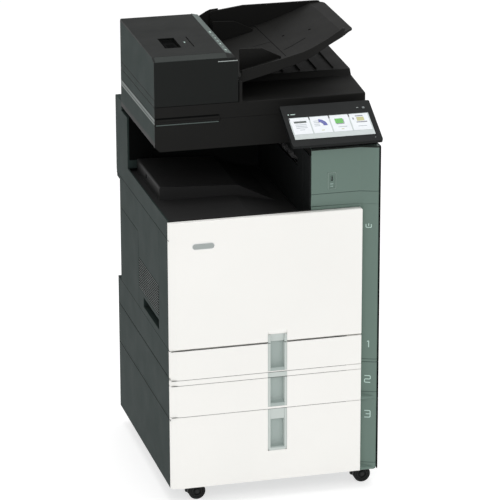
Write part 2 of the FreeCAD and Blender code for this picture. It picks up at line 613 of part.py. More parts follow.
def make_rear_cover():
    """Stepped back cover with a pocket for the power socket and switch, and two vents."""
    profile = [(LOWER_BACK_Y, MAIN_Z), (LOWER_BACK_Y, 475), (UPPER_BACK_Y, 475), (UPPER_BACK_Y, 1015.4),
               (UPPER_BACK_Y - 4, 1015.4), (UPPER_BACK_Y - 4, 471), (LOWER_BACK_Y - 4,
                                                                     471), (LOWER_BACK_Y - 4, MAIN_Z)]
    shell = prism(profile, "x", -HALF + COVER_WALL + SEAM, HALF - COVER_WALL - SEAM)
    pocket = open_box(POWER_X, (LOWER_BACK_Y - 14, LOWER_BACK_Y), POWER_Z, WALL, "+y")
    tools = [
        box((-HALF, -234.6), (UPPER_BACK_Y - 5, UPPER_BACK_Y + 1), (792.6, 1020)),
        box(POWER_INNER_X, (LOWER_BACK_Y - 11, LOWER_BACK_Y + 1), POWER_INNER_Z),
        box((INLET_X[0] - 0.2, INLET_X[1] + 0.2), (LOWER_BACK_Y - 20, LOWER_BACK_Y),
            (INLET_Z[0] - 0.2, INLET_Z[1] + 0.2)),
        box((SWITCH_X[0] - 0.4, SWITCH_X[1] + 0.4), (LOWER_BACK_Y - 20, LOWER_BACK_Y),
            (SWITCH_Z[0] - 2, SWITCH_Z[1] + 2)),
    ]
    for column in range(2):
        for row in range(12):
            x = -180 + column * 200
            z = 560 + row * 12
            tools.append(box((x, x + 140), (UPPER_BACK_Y - 5, UPPER_BACK_Y + 1), (z, z + 5)))
    pivots = []
    for side in (-1, 1):
        edge = SWITCH_X[1] + 0.4 if side > 0 else SWITCH_X[0] - 0.4
        pivot_x = sorted((edge + side * 3, edge - side * 2.5))
        pivots.append(rod(1.5, "x", pivot_x[0], pivot_x[1], SWITCH_AXIS))
        lug_x = sorted((edge, edge + side * 3))
        pivots.append(box(lug_x, (LOWER_BACK_Y - 24, LOWER_BACK_Y - 11),
                          (SWITCH_AXIS[1] - 4, SWITCH_AXIS[1] + 4)))
    save("rear_cover", join(cut(join(shell, pocket), *tools), *pivots))


def make_column_cover():
    """Green cover of the column, with the lower band hollowed back and a pocket for the USB plate."""
    z = (COLUMN_Z, COLUMN_TOP_Z)
    face = STRIP_FACE_Y
    thick = 6.0
    outer = [(COLUMN_X, face), (COLUMN_BEND_X, face, 24), (STRIP_KNEE_X, FRONT_Y, 16),
             (STRIP_RIGHT_X, FRONT_Y, 3.5)]
    inner = [(STRIP_RIGHT_X - WALL, -300), (STRIP_RIGHT_X - WALL, FRONT_Y + thick),
             (STRIP_KNEE_X, FRONT_Y + thick),
             (COLUMN_BEND_X, face + thick), (COLUMN_X + WALL, face + thick), (COLUMN_X + WALL, -300)]
    skin = prism(outer + [(STRIP_RIGHT_X, -300)] + inner + [(COLUMN_X, -300)], "z", z[0], z[1])
    cap_back = SCANNER_FRONT_Y - SEAM
    cap = prism(outer + [(STRIP_RIGHT_X, cap_back), (COLUMN_X, cap_back)], "z", 1015.4, z[1])
    ends = []
    for x, depth in ((COLUMN_X - 1, 4.0), (COLUMN_BEND_X - 6, 0.05)):
        corners = [(face - 1, 900), (face, 900), (face + depth, COLUMN_Z - 0.5), (face - 1, COLUMN_Z - 0.5)]
        ends.append(Part.makePolygon([V(x, *corner) for corner in corners + corners[:1]]))
    scoop = Part.makeLoft(ends, True, True)
    seam_line = prism([(x, y - 1) for x, y, *_ in outer] + [(x, y + 0.8) for x, y, *_ in reversed(outer)],
                      "z", 901.6, 902.4)
    tools = [
        scoop,
        seam_line,
        box((USB_X - 12.5, USB_X + 12.5), (face - 1, face + 1.2), (USB_Z - 31, USB_Z + 19)),
        box((USB_X - 2.5, USB_X + 2.5), (face - 1, face + 7), (USB_Z - 6.5, USB_Z + 6.5)),
    ]
    save("column_cover", cut(join(skin, cap), *tools))


def make_bin_liner():
    """Black back and right walls of the output space, with the slot for the exit roller."""
    wall_x = (105, 108)
    z = (815, 1015.4)
    back = box((-234.6, wall_x[1]), (255, 258), z)
    side = box(wall_x, (-312, 258), z)
    slot = box((wall_x[0] - 1, wall_x[1] + 1), (-EXIT_Y - 9, EXIT_Y + 9),
               (EXIT_AXIS[1] - 14, EXIT_AXIS[1] + 14))
    ribs = []
    for index in range(7):
        y = -240 + index * 70
        if abs(y) > EXIT_Y + 12:
            ribs.append(box((wall_x[0] - 1.5, wall_x[0]), (y, y + 3), (830, 1000)))
    ribs.append(box((-230, wall_x[0]), (253, 255), (930, 933)))
    save("bin_liner", join(cut(join(back, side), slot), *ribs))


def make_output_tray():
    """Stacking surface: a raised platform at the left and a ramp down towards the column."""
    floor = [(-303, 848), (-60, 848), (104.5, 812), (104.5, 815), (-60, 851), (-303, 851)]
    sheet = prism(floor, "y", -309, 254.5)
    platform = [(PLATFORM_X[0], 849), (PLATFORM_X[0], 890, 5), (PLATFORM_X[1], 879, 12), (64, 822.5),
                (64, 820),
                (-60, 849)]
    hollow = [(PLATFORM_X[0] + 3, 840), (PLATFORM_X[0] + 3, 887, 3), (PLATFORM_X[1] - 2, 876, 10), (48, 826),
              (-60, 847), (-60, 840)]
    raised = cut(prism(platform, "y", *PLATFORM_Y),
                 prism(hollow, "y", PLATFORM_Y[0] + 3, PLATFORM_Y[1] - 3))
    lip = box((-303, 104.5), (-312, -309), (812, 857))
    hole = rod(5, "x", PLATFORM_X[0] - 1, PLATFORM_X[0] + 4, (68.5, 872))
    save("output_tray", cut(join(sheet, raised, lip), hole))


def make_exit_roller():
    parts = [rod(4, "y", -EXIT_Y - 7, EXIT_Y + 7, EXIT_AXIS)]
    for index in range(4):
        y = -120 + index * 70
        roller = rod(11.5, "y", y, y + 30, EXIT_AXIS)
        rims = [edge for edge in roller.Edges if abs(edge.Length - 2 * math.pi * 11.5) < 0.1]
        parts.append(roller.makeChamfer(1, rims))
    save("exit_roller", join(*parts))


# --- Doors ---------------------------------------------------------------------------------

def make_front_door():
    """White front door on two pins along its rounded bottom edge."""
    y = (FRONT_Y, FRONT_Y + FRONT_DEPTH)
    z = (DOOR_Z, DOOR_TOP_Z)
    outer = prism(front_outline(0), "z", z[0], z[1])
    round_edge = prism([(y[0], z[0], HINGE_RADIUS - 0.01), (y[1], z[0], HINGE_RADIUS - 0.01), (y[1], z[1]),
                        (y[0], z[1], 3)], "x", -HALF - 1, HALF)
    corner = prism([(-HALF - 1, z[0] - 1), (FRONT_RIGHT_X, z[0] - 1), (FRONT_RIGHT_X, z[1], 6),
                    (-HALF - 1, z[1])],
                   "y", y[0] - 1, y[1] + 1)
    body = outer.common(round_edge).common(corner)
    hollow = prism(front_outline(WALL), "z", z[0] + 20, z[1] - WALL - 2)
    ribs = [box((x, x + 2.5), (y[0] + 2, y[1]), (z[0] + 10, z[1] - 4)) for x in (-190, -80, 60, 140, 215)]
    ribs += [box((-HALF + 8, FRONT_RIGHT_X - 4), (y[0] + 2, y[1]), (level, level + 2.5))
             for level in (610, 740)]
    ramp = prism([(y[0] - 1, 514), (y[0], 514), (y[0] + 12, z[0]), (y[0] + 12, z[0] - 1),
                  (y[0] - 1, z[0] - 1)],
                 "x", *GRIP_X)
    grip_block = box((GRIP_X[0] - 3, GRIP_X[1] + 3), (y[0] + 1, y[1]), (z[0] + 19, 517))
    tools = [ramp]
    for x in DOOR_HINGE_X:
        tools.append(box((x - 7, x + 7), (DOOR_AXIS_Y - 5, y[1] + 1), (z[0] - 1, DOOR_AXIS_Z + 8)))
        tools.append(rod(3 + PIN_PLAY, "x", x - 15.5, x + 15.5, (DOOR_AXIS_Y, DOOR_AXIS_Z)))
    save("front_door", cut(join(cut(body, hollow), *ribs, grip_block).common(body), *tools))


def make_right_door():
    """Side door to the paper path, on a vertical hinge at its rear edge, with a recess for the tray."""
    x = (HALF - 12, HALF)
    body = prism([(x[0], SIDE_DOOR_Y[0]), (x[1], SIDE_DOOR_Y[0], 2), (x[1], SIDE_DOOR_Y[1], 5.99),
                  (x[0], SIDE_DOOR_Y[1], 5.99)], "z", *SIDE_DOOR_Z)
    hollow = box((x[0] - 1, x[1] - 3), (SIDE_DOOR_Y[0] + 3, SIDE_DOOR_Y[1] - 14),
                 (SIDE_DOOR_Z[0] + 3, SIDE_DOOR_Z[1] - 3))
    backing = box((x[0], x[1] - 1), (BYPASS_Y[0] - 4, BYPASS_Y[1] + 4), (BYPASS_Z[0] - 4, BYPASS_Z[1] + 4))
    ribs = [box((x[0], x[1] - 2), (SIDE_DOOR_Y[0] + 2, SIDE_DOOR_Y[1] - 12), (z, z + 3)) for z in (520, 800)]
    tools = [
        box((HALF - 8.5, HALF + 1), (BYPASS_Y[0] - 0.5, BYPASS_Y[1] + 0.5),
            (BYPASS_Z[0] - 0.5, BYPASS_Z[1] + 0.5)),
        rod(1.9 + PIN_PLAY, "z", SIDE_DOOR_Z[0] - 1, 497.5, SIDE_AXIS),
        rod(1.9 + PIN_PLAY, "z", 822.5, SIDE_DOOR_Z[1] + 1, SIDE_AXIS),
        box((x[1] - 6, x[1] + 1), (SIDE_DOOR_Y[0] - 1, SIDE_DOOR_Y[0] + 9), (640, 720)),
    ]
    pins = []
    for side, y in ((-1, BYPASS_Y[0]), (1, BYPASS_Y[1])):
        span = sorted((y + side * 0.5, y - side * 5))
        pins.append(rod(1.5, "y", span[0], span[1], BYPASS_AXIS))
    save("right_door", join(cut(join(cut(body, hollow), backing, *ribs), *tools), *pins))


def make_bypass_tray():
    """Fold-down tray for single sheets, lying flush in the right door."""
    x = (HALF - 7, HALF)
    body = prism([(x[0], BYPASS_Z[0], 3.49), (x[1], BYPASS_Z[0], 3.49), (x[1], BYPASS_Z[1], 1),
                  (x[0], BYPASS_Z[1])],
                 "y", *BYPASS_Y)
    dish = box((x[0] - 1, x[0] + 3.5), (BYPASS_Y[0] + 12, BYPASS_Y[1] - 12),
               (BYPASS_Z[0] + 14, BYPASS_Z[1] - 12))
    finger = box((x[1] - 4, x[1] + 1), (-70, 10), (BYPASS_Z[1] - 8, BYPASS_Z[1] + 1))
    tools = [dish, finger]
    for side, y in ((-1, BYPASS_Y[0]), (1, BYPASS_Y[1])):
        span = sorted((y + side, y - side * 5.5))
        tools.append(rod(1.5 + PIN_PLAY, "y", span[0], span[1], BYPASS_AXIS))
    save("bypass_tray", cut(body, *tools))


# --- Inside the main unit ------------------------------------------------------------------

def make_toner_cartridges():
    cartridges = []
    for x in TONER_X:
        centre = (x, TONER_Z)
        bottle = rod(TONER_RADIUS, "y", -290, 150, centre)
        cap = rod(TONER_RADIUS - 5, "y", -303, -289, centre)
        grip = box((x - 4, x + 4), (-307, -303), (TONER_Z - 24, TONER_Z + 24))
        foot = box((x - 14, x + 14), (-292, 140), (699, TONER_Z - 20))
        grooves = []
        for index in range(5):
            y = -230 + index * 70
            ring = cut(rod(TONER_RADIUS + 1, "y", y, y + 6, centre),
                       rod(TONER_RADIUS - 2, "y", y, y + 6, centre))
            grooves.append(ring)
        cartridges.append(join(cut(bottle, *grooves), cap, grip, foot))
    save("toner_cartridges", Part.makeCompound(cartridges))


def make_imaging_units():
    """Four drum units, each a trough with its drum showing at the foot."""
    units = []
    for x in TONER_X:
        trough = prism([(x - 36, 640, 4), (x - 30, 622), (x + 30, 622), (x + 36, 640, 4), (x + 36, 696),
                        (x - 36, 696)],
                       "y", -290, 240)
        drum = rod(15, "y", -288, 238, (x, 624))
        clearance = rod(16, "y", -288, 238, (x, 624))
        handle = box((x - 20, x + 20), (-296, -290), (655, 672))
        shaft = rod(5, "y", -290, 240, (x, 624))
        units.append(join(cut(trough, clearance), drum, shaft, handle))
    save("imaging_units", Part.makeCompound(units))


def make_transfer_belt_unit():
    """Endless belt round two rollers, in a pair of side plates."""
    low, high = -240, 120
    middle_z = 586
    rollers = [rod(14, "y", -276, 226, (x, middle_z)) for x in (low, high)]
    outer = prism([(low - 17, middle_z - 17, 16.9), (high + 17, middle_z - 17, 16.9),
                   (high + 17, middle_z + 17, 16.9),
                   (low - 17, middle_z + 17, 16.9)], "y", -270, 220)
    inner = prism([(low - 15, middle_z - 15, 14.9), (high + 15, middle_z - 15, 14.9),
                   (high + 15, middle_z + 15, 14.9), (low - 15, middle_z + 15, 14.9)], "y", -271, 221)
    plates = [box((low - 8, high + 8), y, (565, middle_z + 10)) for y in ((-276, -272), (222, 226))]
    save("transfer_belt_unit", join(cut(outer, inner), *rollers, *plates))


def make_laser_unit():
    housing = open_box((-262, 142), (-280, 230), (480, 548), WALL, "+y")
    fins = [box((-262 + index * 20, -256 + index * 20), (-270, 220), (548, 555)) for index in range(21)]
    slots = [box((x - 3, x + 3), (-230, 180), (541, 556)) for x in TONER_X]
    save("laser_unit", cut(join(housing, *fins), *slots))


def make_fuser():
    """Fusing unit: hot roller and pressure roller in a slotted case."""
    x = (190, 288)
    case = cut(box(x, (-270, 230), (685, 775)), box((x[0] + 4, x[1] - 4), (-266, 226), (689, 771)))
    slot_x = (236, 244)
    slots = [box(slot_x, (-230, 190), (684, 690)), box(slot_x, (-230, 190), (770, 776))]
    centres = [(x_roller, 730) for x_roller in (217.6, 262.4)]
    rollers = [rod(22, "y", -267, 227, centre) for centre in centres]
    bores = [rod(18, "y", -271, 231, centre) for centre in centres]
    handle = cut(box((205, 273), (-284, -270), (722, 738)), box((213, 265), (-280, -269), (721, 739)))
    save("fuser", join(cut(join(cut(case, *slots), *rollers), *bores), handle))


def make_power_parts():
    y = (LOWER_BACK_Y - 30, LOWER_BACK_Y - 8)
    body = box(INLET_X, y, INLET_Z)
    socket = box((INLET_X[0] + 10, INLET_X[1] - 10), (y[1] - 18, y[1] + 1), (INLET_Z[0] + 4, INLET_Z[1] - 4))
    blades = [box((x - 1, x + 1), (y[1] - 19, y[1] - 3), (424, 434)) for x in (177, 184, 191)]
    save("power_inlet", join(cut(body, socket), *blades))
    pivot_y, pivot_z = SWITCH_AXIS
    rocker = prism([(pivot_y - 7, SWITCH_Z[0] + 3, 2), (pivot_y + 6, SWITCH_Z[0] + 2, 1),
                    (pivot_y + 3.5, pivot_z),
                    (pivot_y + 6, SWITCH_Z[1] - 2, 1), (pivot_y - 7, SWITCH_Z[1] - 3, 2)], "x", *SWITCH_X)
    rocker = cut(rocker, rod(1.5 + PIN_PLAY, "x", SWITCH_X[0] - 1, SWITCH_X[1] + 1, SWITCH_AXIS))
    rocker.rotate(V(0, pivot_y, pivot_z), V(1, 0, 0), SWITCH_TILT)
    save("power_switch", rocker)


# --- Scanner -------------------------------------------------------------------------------

def make_scanner_housing():
    """Hollow housing with the glass aperture, the carriage rod, cover hinges and the panel's neck."""
    x = (-HALF, HALF)
    y = (SCANNER_FRONT_Y, SCANNER_BACK_Y)
    outer = prism([(x[0], SCANNER_Z + 14, 4), (x[0] + 14, SCANNER_Z), (x[1], SCANNER_Z, 3),
                   (x[1], SCANNER_TOP_Z),
                   (x[0], SCANNER_TOP_Z)], "y", *y)
    inner = box((x[0] + 14, x[1] - WALL), (y[0] + WALL, y[1] - WALL), (SCANNER_Z + WALL, SCANNER_TOP_Z - 6))
    seat = box((GLASS_X[0], GLASS_X[1]), GLASS_Y, (SCANNER_TOP_Z - GLASS_THICK, SCANNER_TOP_Z + 1))
    aperture = box((GLASS_X[0] + 6, GLASS_X[1] - 6), (GLASS_Y[0] + 6, GLASS_Y[1] - 6),
                   (SCANNER_TOP_Z - 10, SCANNER_TOP_Z))
    lift_recess = prism([(-HALF - 1, 1091.6), (LIFT_RECESS_X, 1091.6, 8), (LIFT_RECESS_X, SCANNER_TOP_Z + 1),
                         (-HALF - 1, SCANNER_TOP_Z + 1)], "y", y[0] - 1, y[0] + 2.2)
    shell = cut(outer, inner, seat, aperture, lift_recess)
    neck = prism([(-310, 1035), (-310, 1058), (-222, 1096), (y[0] + 1, 1096), (y[0] + 1, 1035)], "x", *NECK_X)
    neck_hollow = prism([(-307, 1034), (-307, 1055), (-222, 1092), (y[0] - 2, 1092), (y[0] - 2, 1034)],
                        "x", NECK_X[0] + WALL, NECK_X[1] - WALL)
    parts = [shell, cut(neck, neck_hollow)]
    parts.append(rod(4, "x", x[0] + 10, x[1] - 2, CARRIAGE_ROD))
    for side, edge in ((-1, NECK_X[0]), (1, NECK_X[1])):
        span = sorted((edge - side, edge + side * 5))
        parts.append(rod(4, "x", span[0], span[1], PANEL_AXIS))
    for middle in COVER_HINGE_X:
        for side in (-1, 1):
            ear_x = sorted((middle + side * 10.5, middle + side * 18))
            parts.append(rod(8.5, "x", ear_x[0], ear_x[1], COVER_AXIS))
            parts.append(box(ear_x, (y[1] - 1, COVER_AXIS[0] + 8), (1070, SCANNER_TOP_Z - 1)))
            parts.append(box(ear_x, (y[1] + 0.8, COVER_AXIS[0] + 8), (SCANNER_TOP_Z - 2, COVER_AXIS[1])))
        parts.append(rod(4, "x", middle - 11, middle + 11, COVER_AXIS))
    save("scanner_housing", join(*parts))


def make_scanner_inside():
    glass_z = (SCANNER_TOP_Z - GLASS_THICK, SCANNER_TOP_Z)
    inset = 0.2
    glass = box((GLASS_X[0] + inset, GLASS_X[1] - inset), (GLASS_Y[0] + inset, GLASS_Y[1] - inset), glass_z)
    save("platen_glass", glass)
    x = (-262, -226)
    body = box(x, (-140, 235), (1060, 1084))
    lamp = box((x[0] + 12, x[0] + 24), (-130, 225), (1083, 1090))
    slit = box((x[0] + 26, x[0] + 30), (-120, 215), (1070, 1085))
    carrier = box(x, (CARRIAGE_ROD[0] - 9, CARRIAGE_ROD[0] + 9), (1033, 1061))
    bore = rod(4 + PIN_PLAY, "x", x[0] - 1, x[1] + 1, CARRIAGE_ROD)
    save("scan_carriage", cut(join(cut(body, slit), lamp, carrier), bore))


# --- Document cover with the sheet feeder --------------------------------------------------

def make_document_cover():
    """Lifting cover: the exit floor at the right, the feeder's case and chassis at the left."""
    y = (SCANNER_FRONT_Y, SCANNER_BACK_Y)
    floor = prism([(y[0], COVER_Z), (y[0], 1146, 3), (-28, 1160), (-16, 1176, 4), (y[1], 1190, 4),
                   (y[1], COVER_Z)],
                  "x", FEEDER_X[1], HALF)
    floor_hollow = prism([(y[0] + WALL, COVER_Z + FLOOR), (y[0] + WALL, 1142), (-28, 1156), (-16, 1172),
                          (y[1] - WALL, 1186), (y[1] - WALL,
                                                COVER_Z + FLOOR)], "x", FEEDER_X[1] + WALL, HALF - WALL)
    base = cut(box((-HALF, FEEDER_X[1] + 0.1), y, (COVER_Z, LID_Z - LID_GAP)),
               box((-HALF + WALL, FEEDER_X[1] - WALL), (y[0] + WALL, y[1] - WALL),
                   (COVER_Z + FLOOR, LID_Z - 4)))
    pillar = prism([(PILLAR_X[0], 1140), (PILLAR_X[0], 1204), (PILLAR_X[1], 1204, 2), (PILLAR_X[1], 1146, 8),
                    (PILLAR_X[1] + 14, 1146), (PILLAR_X[1] + 14, 1140)], "y", y[0], -150)
    parts = [cut(floor, floor_hollow), base, pillar]
    plate_x = (CHASSIS_X[0], CHASSIS_X[1])
    for plate_y, arm_tip in ((CHASSIS_FRONT_Y, -167), (CHASSIS_REAR_Y, 264)):
        parts.append(box(plate_x, plate_y, (LID_Z - 2, 1250)))
        parts.append(box((LID_AXIS[0], CHASSIS_X[0] + 1), plate_y, (LID_AXIS[1] - 4, LID_AXIS[1] + 4)))
        parts.append(rod(4, "y", plate_y[0], plate_y[1], LID_AXIS))
        pin_y = sorted((plate_y[0] + 1, arm_tip))
        parts.append(rod(3, "y", pin_y[0], pin_y[1], LID_AXIS))
        parts.append(box((CHASSIS_X[1] - 1, TRAY_AXIS[0] + 7), plate_y, (TRAY_AXIS[1] - 8, TRAY_AXIS[1] + 8)))
    for x, z in ((-250, 1170), (-200, 1236), (-150, 1165)):
        parts.append(box((x, x + 12), (CHASSIS_FRONT_Y[1], CHASSIS_REAR_Y[0]), (z, z + 10)))
    parts.append(prism([(-190, 1150), (CHASSIS_X[1], 1168), (CHASSIS_X[1], 1171), (-190, 1153)], "y",
                       CHASSIS_FRONT_Y[1], CHASSIS_REAR_Y[0]))
    parts.append(rod(4, "y", CHASSIS_FRONT_Y[0] + 1, CHASSIS_FRONT_Y[1] + 14, TRAY_AXIS))
    parts.append(rod(4, "y", CHASSIS_REAR_Y[0] - 14, CHASSIS_REAR_Y[1] - 1, TRAY_AXIS))
    for middle in COVER_HINGE_X:
        parts.append(rod(8.5, "x", middle - 10, middle + 10, COVER_AXIS))
        parts.append(box((middle - 10, middle + 10), (y[1] - 1, COVER_AXIS[0]),
                         (COVER_Z + 0.6, COVER_AXIS[1] + 8.5)))
    for index in range(5):
        rib_x = 60 + index * 50
        parts.append(prism([(0, 1170), (0, 1181), (190, 1193), (190, 1180)], "x", rib_x, rib_x + 2.5))
    tools = [rod(4 + PIN_PLAY, "x", middle - 11, middle + 11, COVER_AXIS) for middle in COVER_HINGE_X]
    pad_x = (GLASS_X[0] + 8, GLASS_X[1] - 8)
    pad_y = (GLASS_Y[0] + 8, GLASS_Y[1] - 8)
    pad_top_z = COVER_Z + PAD_THICK
    tools.append(box(pad_x, pad_y, (COVER_Z - 1, pad_top_z)))
    tools.append(prism([(-HALF - 1, COVER_Z - 1), (LIFT_RECESS_X, COVER_Z - 1), (LIFT_RECESS_X, 1115, 8),
                        (-HALF - 1, 1115)], "y", y[0] - 1, y[0] + 2.2))
    tools.append(rod(3 + PIN_PLAY, "y", CHASSIS_FRONT_Y[0] - 1, CHASSIS_FRONT_Y[1] + 1, ROLLER_AXIS))
    tools.append(rod(3 + PIN_PLAY, "y", CHASSIS_REAR_Y[0] - 1, CHASSIS_REAR_Y[1] + 1, ROLLER_AXIS))
    save("document_cover", cut(join(*parts), *tools))
    save("platen_pad", box(pad_x, pad_y, (SCANNER_TOP_Z + 0.3, pad_top_z)))


def lid_slope(drop):
    """What the sloping right edge of the lid takes away; it rises to the back with the lid's top."""
    top = 1285.0 - drop
    end = LID_RIGHT_X
    corners = [(-98, top), (-75, top - 6), (end, top - 24), (end + 5, top - 24), (end + 5, top + 30),
               (-98, top + 30)]
    front = Part.makePolygon([V(x, SCANNER_FRONT_Y - 10, z) for x, z in corners + corners[:1]])
    return Part.Face(front).extrude(V(0, SCANNER_BACK_Y - SCANNER_FRONT_Y + 20, 13))


def make_feeder_lid():
    """Top cover of the feeder: front, left and back walls and a top that rises to the back."""
    y = (SCANNER_FRONT_Y, SCANNER_BACK_Y)
    x = (FEEDER_X[0], LID_RIGHT_X)
    side = [(y[0], LID_Z), (y[0], 1276, 3), (y[0] + 26, 1286.3, 8), (y[1], 1297, 10), (y[1], LID_Z)]
    end = [(x[0], LID_Z), (x[0], 1300, 9), (x[1], 1300), (x[1], LID_Z)]
    outer = cut(prism(side, "x", *x).common(prism(end, "y", *y)), lid_slope(0))
    side_in = [(y[0] + WALL, LID_Z - 1), (y[0] + WALL, 1273, 2), (y[0] + 27, 1283, 6), (y[1] - WALL, 1294, 8),
               (y[1] - WALL, LID_Z - 1)]
    end_in = [(x[0] + WALL, LID_Z - 1), (x[0] + WALL, 1310), (x[1] + 1, 1310), (x[1] + 1, LID_Z - 1)]
    inner = prism(side_in, "x", x[0] - 1, x[1] + 1).common(prism(end_in, "y", y[0] - 1, y[1] + 1))
    inner = cut(inner, lid_slope(WALL))
    bosses = [rod(7, "y", y[0] + 1, CHASSIS_FRONT_Y[0] - SEAM, LID_AXIS),
              rod(7, "y", CHASSIS_REAR_Y[1] + SEAM, y[1] - 1, LID_AXIS)]
    latch_x = (-251, -204)
    latch_y = (-70, 30)
    latch_cup = box((latch_x[0] - 3, latch_x[1] + 3), (latch_y[0] - 3, latch_y[1] + 3), (1276, 1285.5))
    tools = [
        box(latch_x, latch_y, (1279.5, 1310)),
        box((-169, -166), (-70, 31), (1280, 1310)),
        rod(3 + PIN_PLAY, "y", y[0] + WALL, CHASSIS_FRONT_Y[0] + 1, LID_AXIS),
        rod(3 + PIN_PLAY, "y", CHASSIS_REAR_Y[1] - 1, y[1] - WALL, LID_AXIS),
    ]
    shell = cut(outer, inner)
    save("adf_cover", cut(join(shell, *bosses, latch_cup), *tools))


def tray_line(x, rise):
    """Height of the input tray's paper surface at x, raised by rise."""
    for (x0, z0), (x1, z1) in zip(TRAY_LINE, TRAY_LINE[1:]):
        if x <= x1:
            return z0 + (x - x0) * (z1 - z0) / (x1 - x0) + rise
    return TRAY_LINE[-1][1] + rise


def make_input_tray():
    """Moulded tray for originals: sloping bed, low front rim, high back wall."""
    top = [(x, z) for x, z in TRAY_LINE]
    under = [(HALF, 1306), (285, 1303, 4), (215, 1278), (164, 1256), (107, 1236), (28, 1214), (-48, 1195),
             (-76, 1192)]
    bed_full = prism(top + under, "y", *TRAY_Y)
    hinge_gap = box((-90, -46), (242, TRAY_Y[1] + 1), (1150, 1300))
    front, back = TRAY_Y
    rim_block = prism([(x, tray_line(x, -4)) for x in (-48, 60, 130, 205, 262)]
                      + [(272, 1316, 3), (262, 1319, 4), (207, 1296), (132, 1271), (69, 1255), (-48, 1229, 3)],
                      "y", front, -60)
    rim_band = prism([(-50, front), (150, front, 120), (262, -98, 60), (296, -71.6), (291.7, -66.1),
                      (258.4, -91.9, 53), (148.6, front + 7, 113), (-50, front + 7)], "z", 1150, 1350)
    wall = prism([(x, tray_line(x, -4)) for x in (-40, 60, 130, 205, 262)]
                 + [(300, 1309, 2), (290, 1313, 3), (60, 1313, 12),
                    (-40, 1300, 6)], "y", TRAY_Y[1] - 7, TRAY_Y[1])
    outline = prism([(-100, front), (150, front, 120), (262, -98, 60), (298, -70, 14), (HALF - 3, back, 30),
                     (-100, back)], "z", 1100, 1400)
    bosses = [rod(8, "y", TRAY_Y[0], TRAY_Y[0] + 18, TRAY_AXIS), rod(8, "y", 226, 242, TRAY_AXIS)]
    tools = [
        rod(4 + PIN_PLAY, "y", TRAY_Y[0] - 1, -139.5, TRAY_AXIS),
        rod(4 + PIN_PLAY, "y", 236.5, 243, TRAY_AXIS),
        rod(4, "z", 1200, 1320, (135, 84)),
        rod(4.5, "z", 1200, 1320, (203, 46)),
    ]
    bed = cut(bed_full, hinge_gap)
    tray = join(bed, rim_block.common(rim_band), wall).common(outline)
    save("input_tray", cut(tray.fuse(bosses).removeSplitter(), *tools))


def make_original_guides():
    for name, y in (("front", (-101.5, -97.5)), ("rear", (213.5, 217.5))):
        side = -1 if name == "front" else 1
        left, right = ORIGINAL_GUIDE_X
        foot_line = [(x, tray_line(x, 0.6)) for x in (72, 20, left)]
        fin = prism([(left, 1281, 3), (22, 1278, 8), (right, tray_line(right, 6), 2),
                     (right, tray_line(right, 0.6))]
                    + foot_line, "y", *y)
        base_y = sorted((y[0] if side > 0 else y[1], (y[1] + 14) if side > 0 else (y[0] - 14)))
        base = prism([(x, tray_line(x, 0.6)) for x in (left, 20, 70)]
                     + [(x, tray_line(x, 3.6)) for x in (70, 20, left)], "y", *base_y)
        save("adf_guide_" + name, join(fin, base))


def make_feed_roller():
    parts = [rod(3, "y", CHASSIS_FRONT_Y[0] + 1, CHASSIS_REAR_Y[1] - 1, ROLLER_AXIS)]
    for y in (-20, 78):
        parts.append(rod(11, "y", y, y + 40, ROLLER_AXIS))
    save("adf_roller", join(*parts))


# --- Control panel -------------------------------------------------------------------------

def on_panel(shape):
    """Tilt a shape made flat, with Y from the panel's front edge and Z from its face."""
    shape.rotate(V(0, 0, 0), V(1, 0, 0), PANEL_TILT)
    shape.translate(PANEL_EDGE)
    return shape


def make_panel():
    plate = prism([(PANEL_X[0], 0, 6), (PANEL_X[1], 0, 6), (PANEL_X[1], PANEL_LENGTH, 4),
                   (PANEL_X[0], PANEL_LENGTH, 4)],
                  "z", -PANEL_THICK, 0)
    front_bevel = prism([(-1, -PANEL_THICK - 1), (9, -PANEL_THICK - 1), (9, -PANEL_THICK),
                         (0, -PANEL_THICK + 5),
                         (-1, -PANEL_THICK + 5)], "x", PANEL_X[0] - 1, PANEL_X[1] + 1)
    pocket = box(SCREEN_X, SCREEN_ALONG, (-SCREEN_THICK, 1))
    button_bore = rod(BUTTON_RADIUS + 0.2, "z", -6, 1, BUTTON_PLACE)
    plate = on_panel(cut(plate, front_bevel, pocket, button_bore))
    lugs = []
    for x in ((104.0, NECK_X[0] - 0.6), (NECK_X[1] + 0.6, HALF - 0.1)):
        axis_y, axis_z = PANEL_AXIS
        web = prism([(axis_y - 8, axis_z), (axis_y + 8, axis_z), (axis_y + 8, axis_z + 28),
                     (axis_y - 8, axis_z + 20)],
                    "x", *x)
        eye = rod(8, "x", x[0], x[1], PANEL_AXIS)
        lugs.append(cut(join(web, eye), rod(4 + PIN_PLAY, "x", x[0] - 1, x[1] + 1, PANEL_AXIS)))
    save("panel_housing", join(plate, *lugs))
    inset = 0.2
    screen = box((SCREEN_X[0] + inset, SCREEN_X[1] - inset),
                 (SCREEN_ALONG[0] + inset, SCREEN_ALONG[1] - inset), (-SCREEN_THICK, 0))
    save("touch_screen", on_panel(screen))
    button = rod(BUTTON_RADIUS, "z", -3.9, BUTTON_RISE, BUTTON_PLACE)
    top_edges = [edge for edge in button.Edges if edge.BoundBox.ZMin > BUTTON_RISE - 0.01]
    save("power_button", on_panel(button.makeFillet(0.6, top_edges)))


make_casters()
make_drawers()
make_cabinet()
make_unit_2()
make_strips()
make_main_frame()
make_left_cover()
make_left_upper_cover()
make_right_cover()
make_rear_cover()
make_column_cover()
make_bin_liner()
make_output_tray()
make_exit_roller()
make_front_door()
make_right_door()
make_bypass_tray()
make_toner_cartridges()
make_imaging_units()
make_transfer_belt_unit()
make_laser_unit()
make_fuser()
make_power_parts()
make_scanner_housing()
make_scanner_inside()
make_document_cover()
make_feeder_lid()
make_input_tray()
make_original_guides()
make_feed_roller()
make_panel()
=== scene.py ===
import math

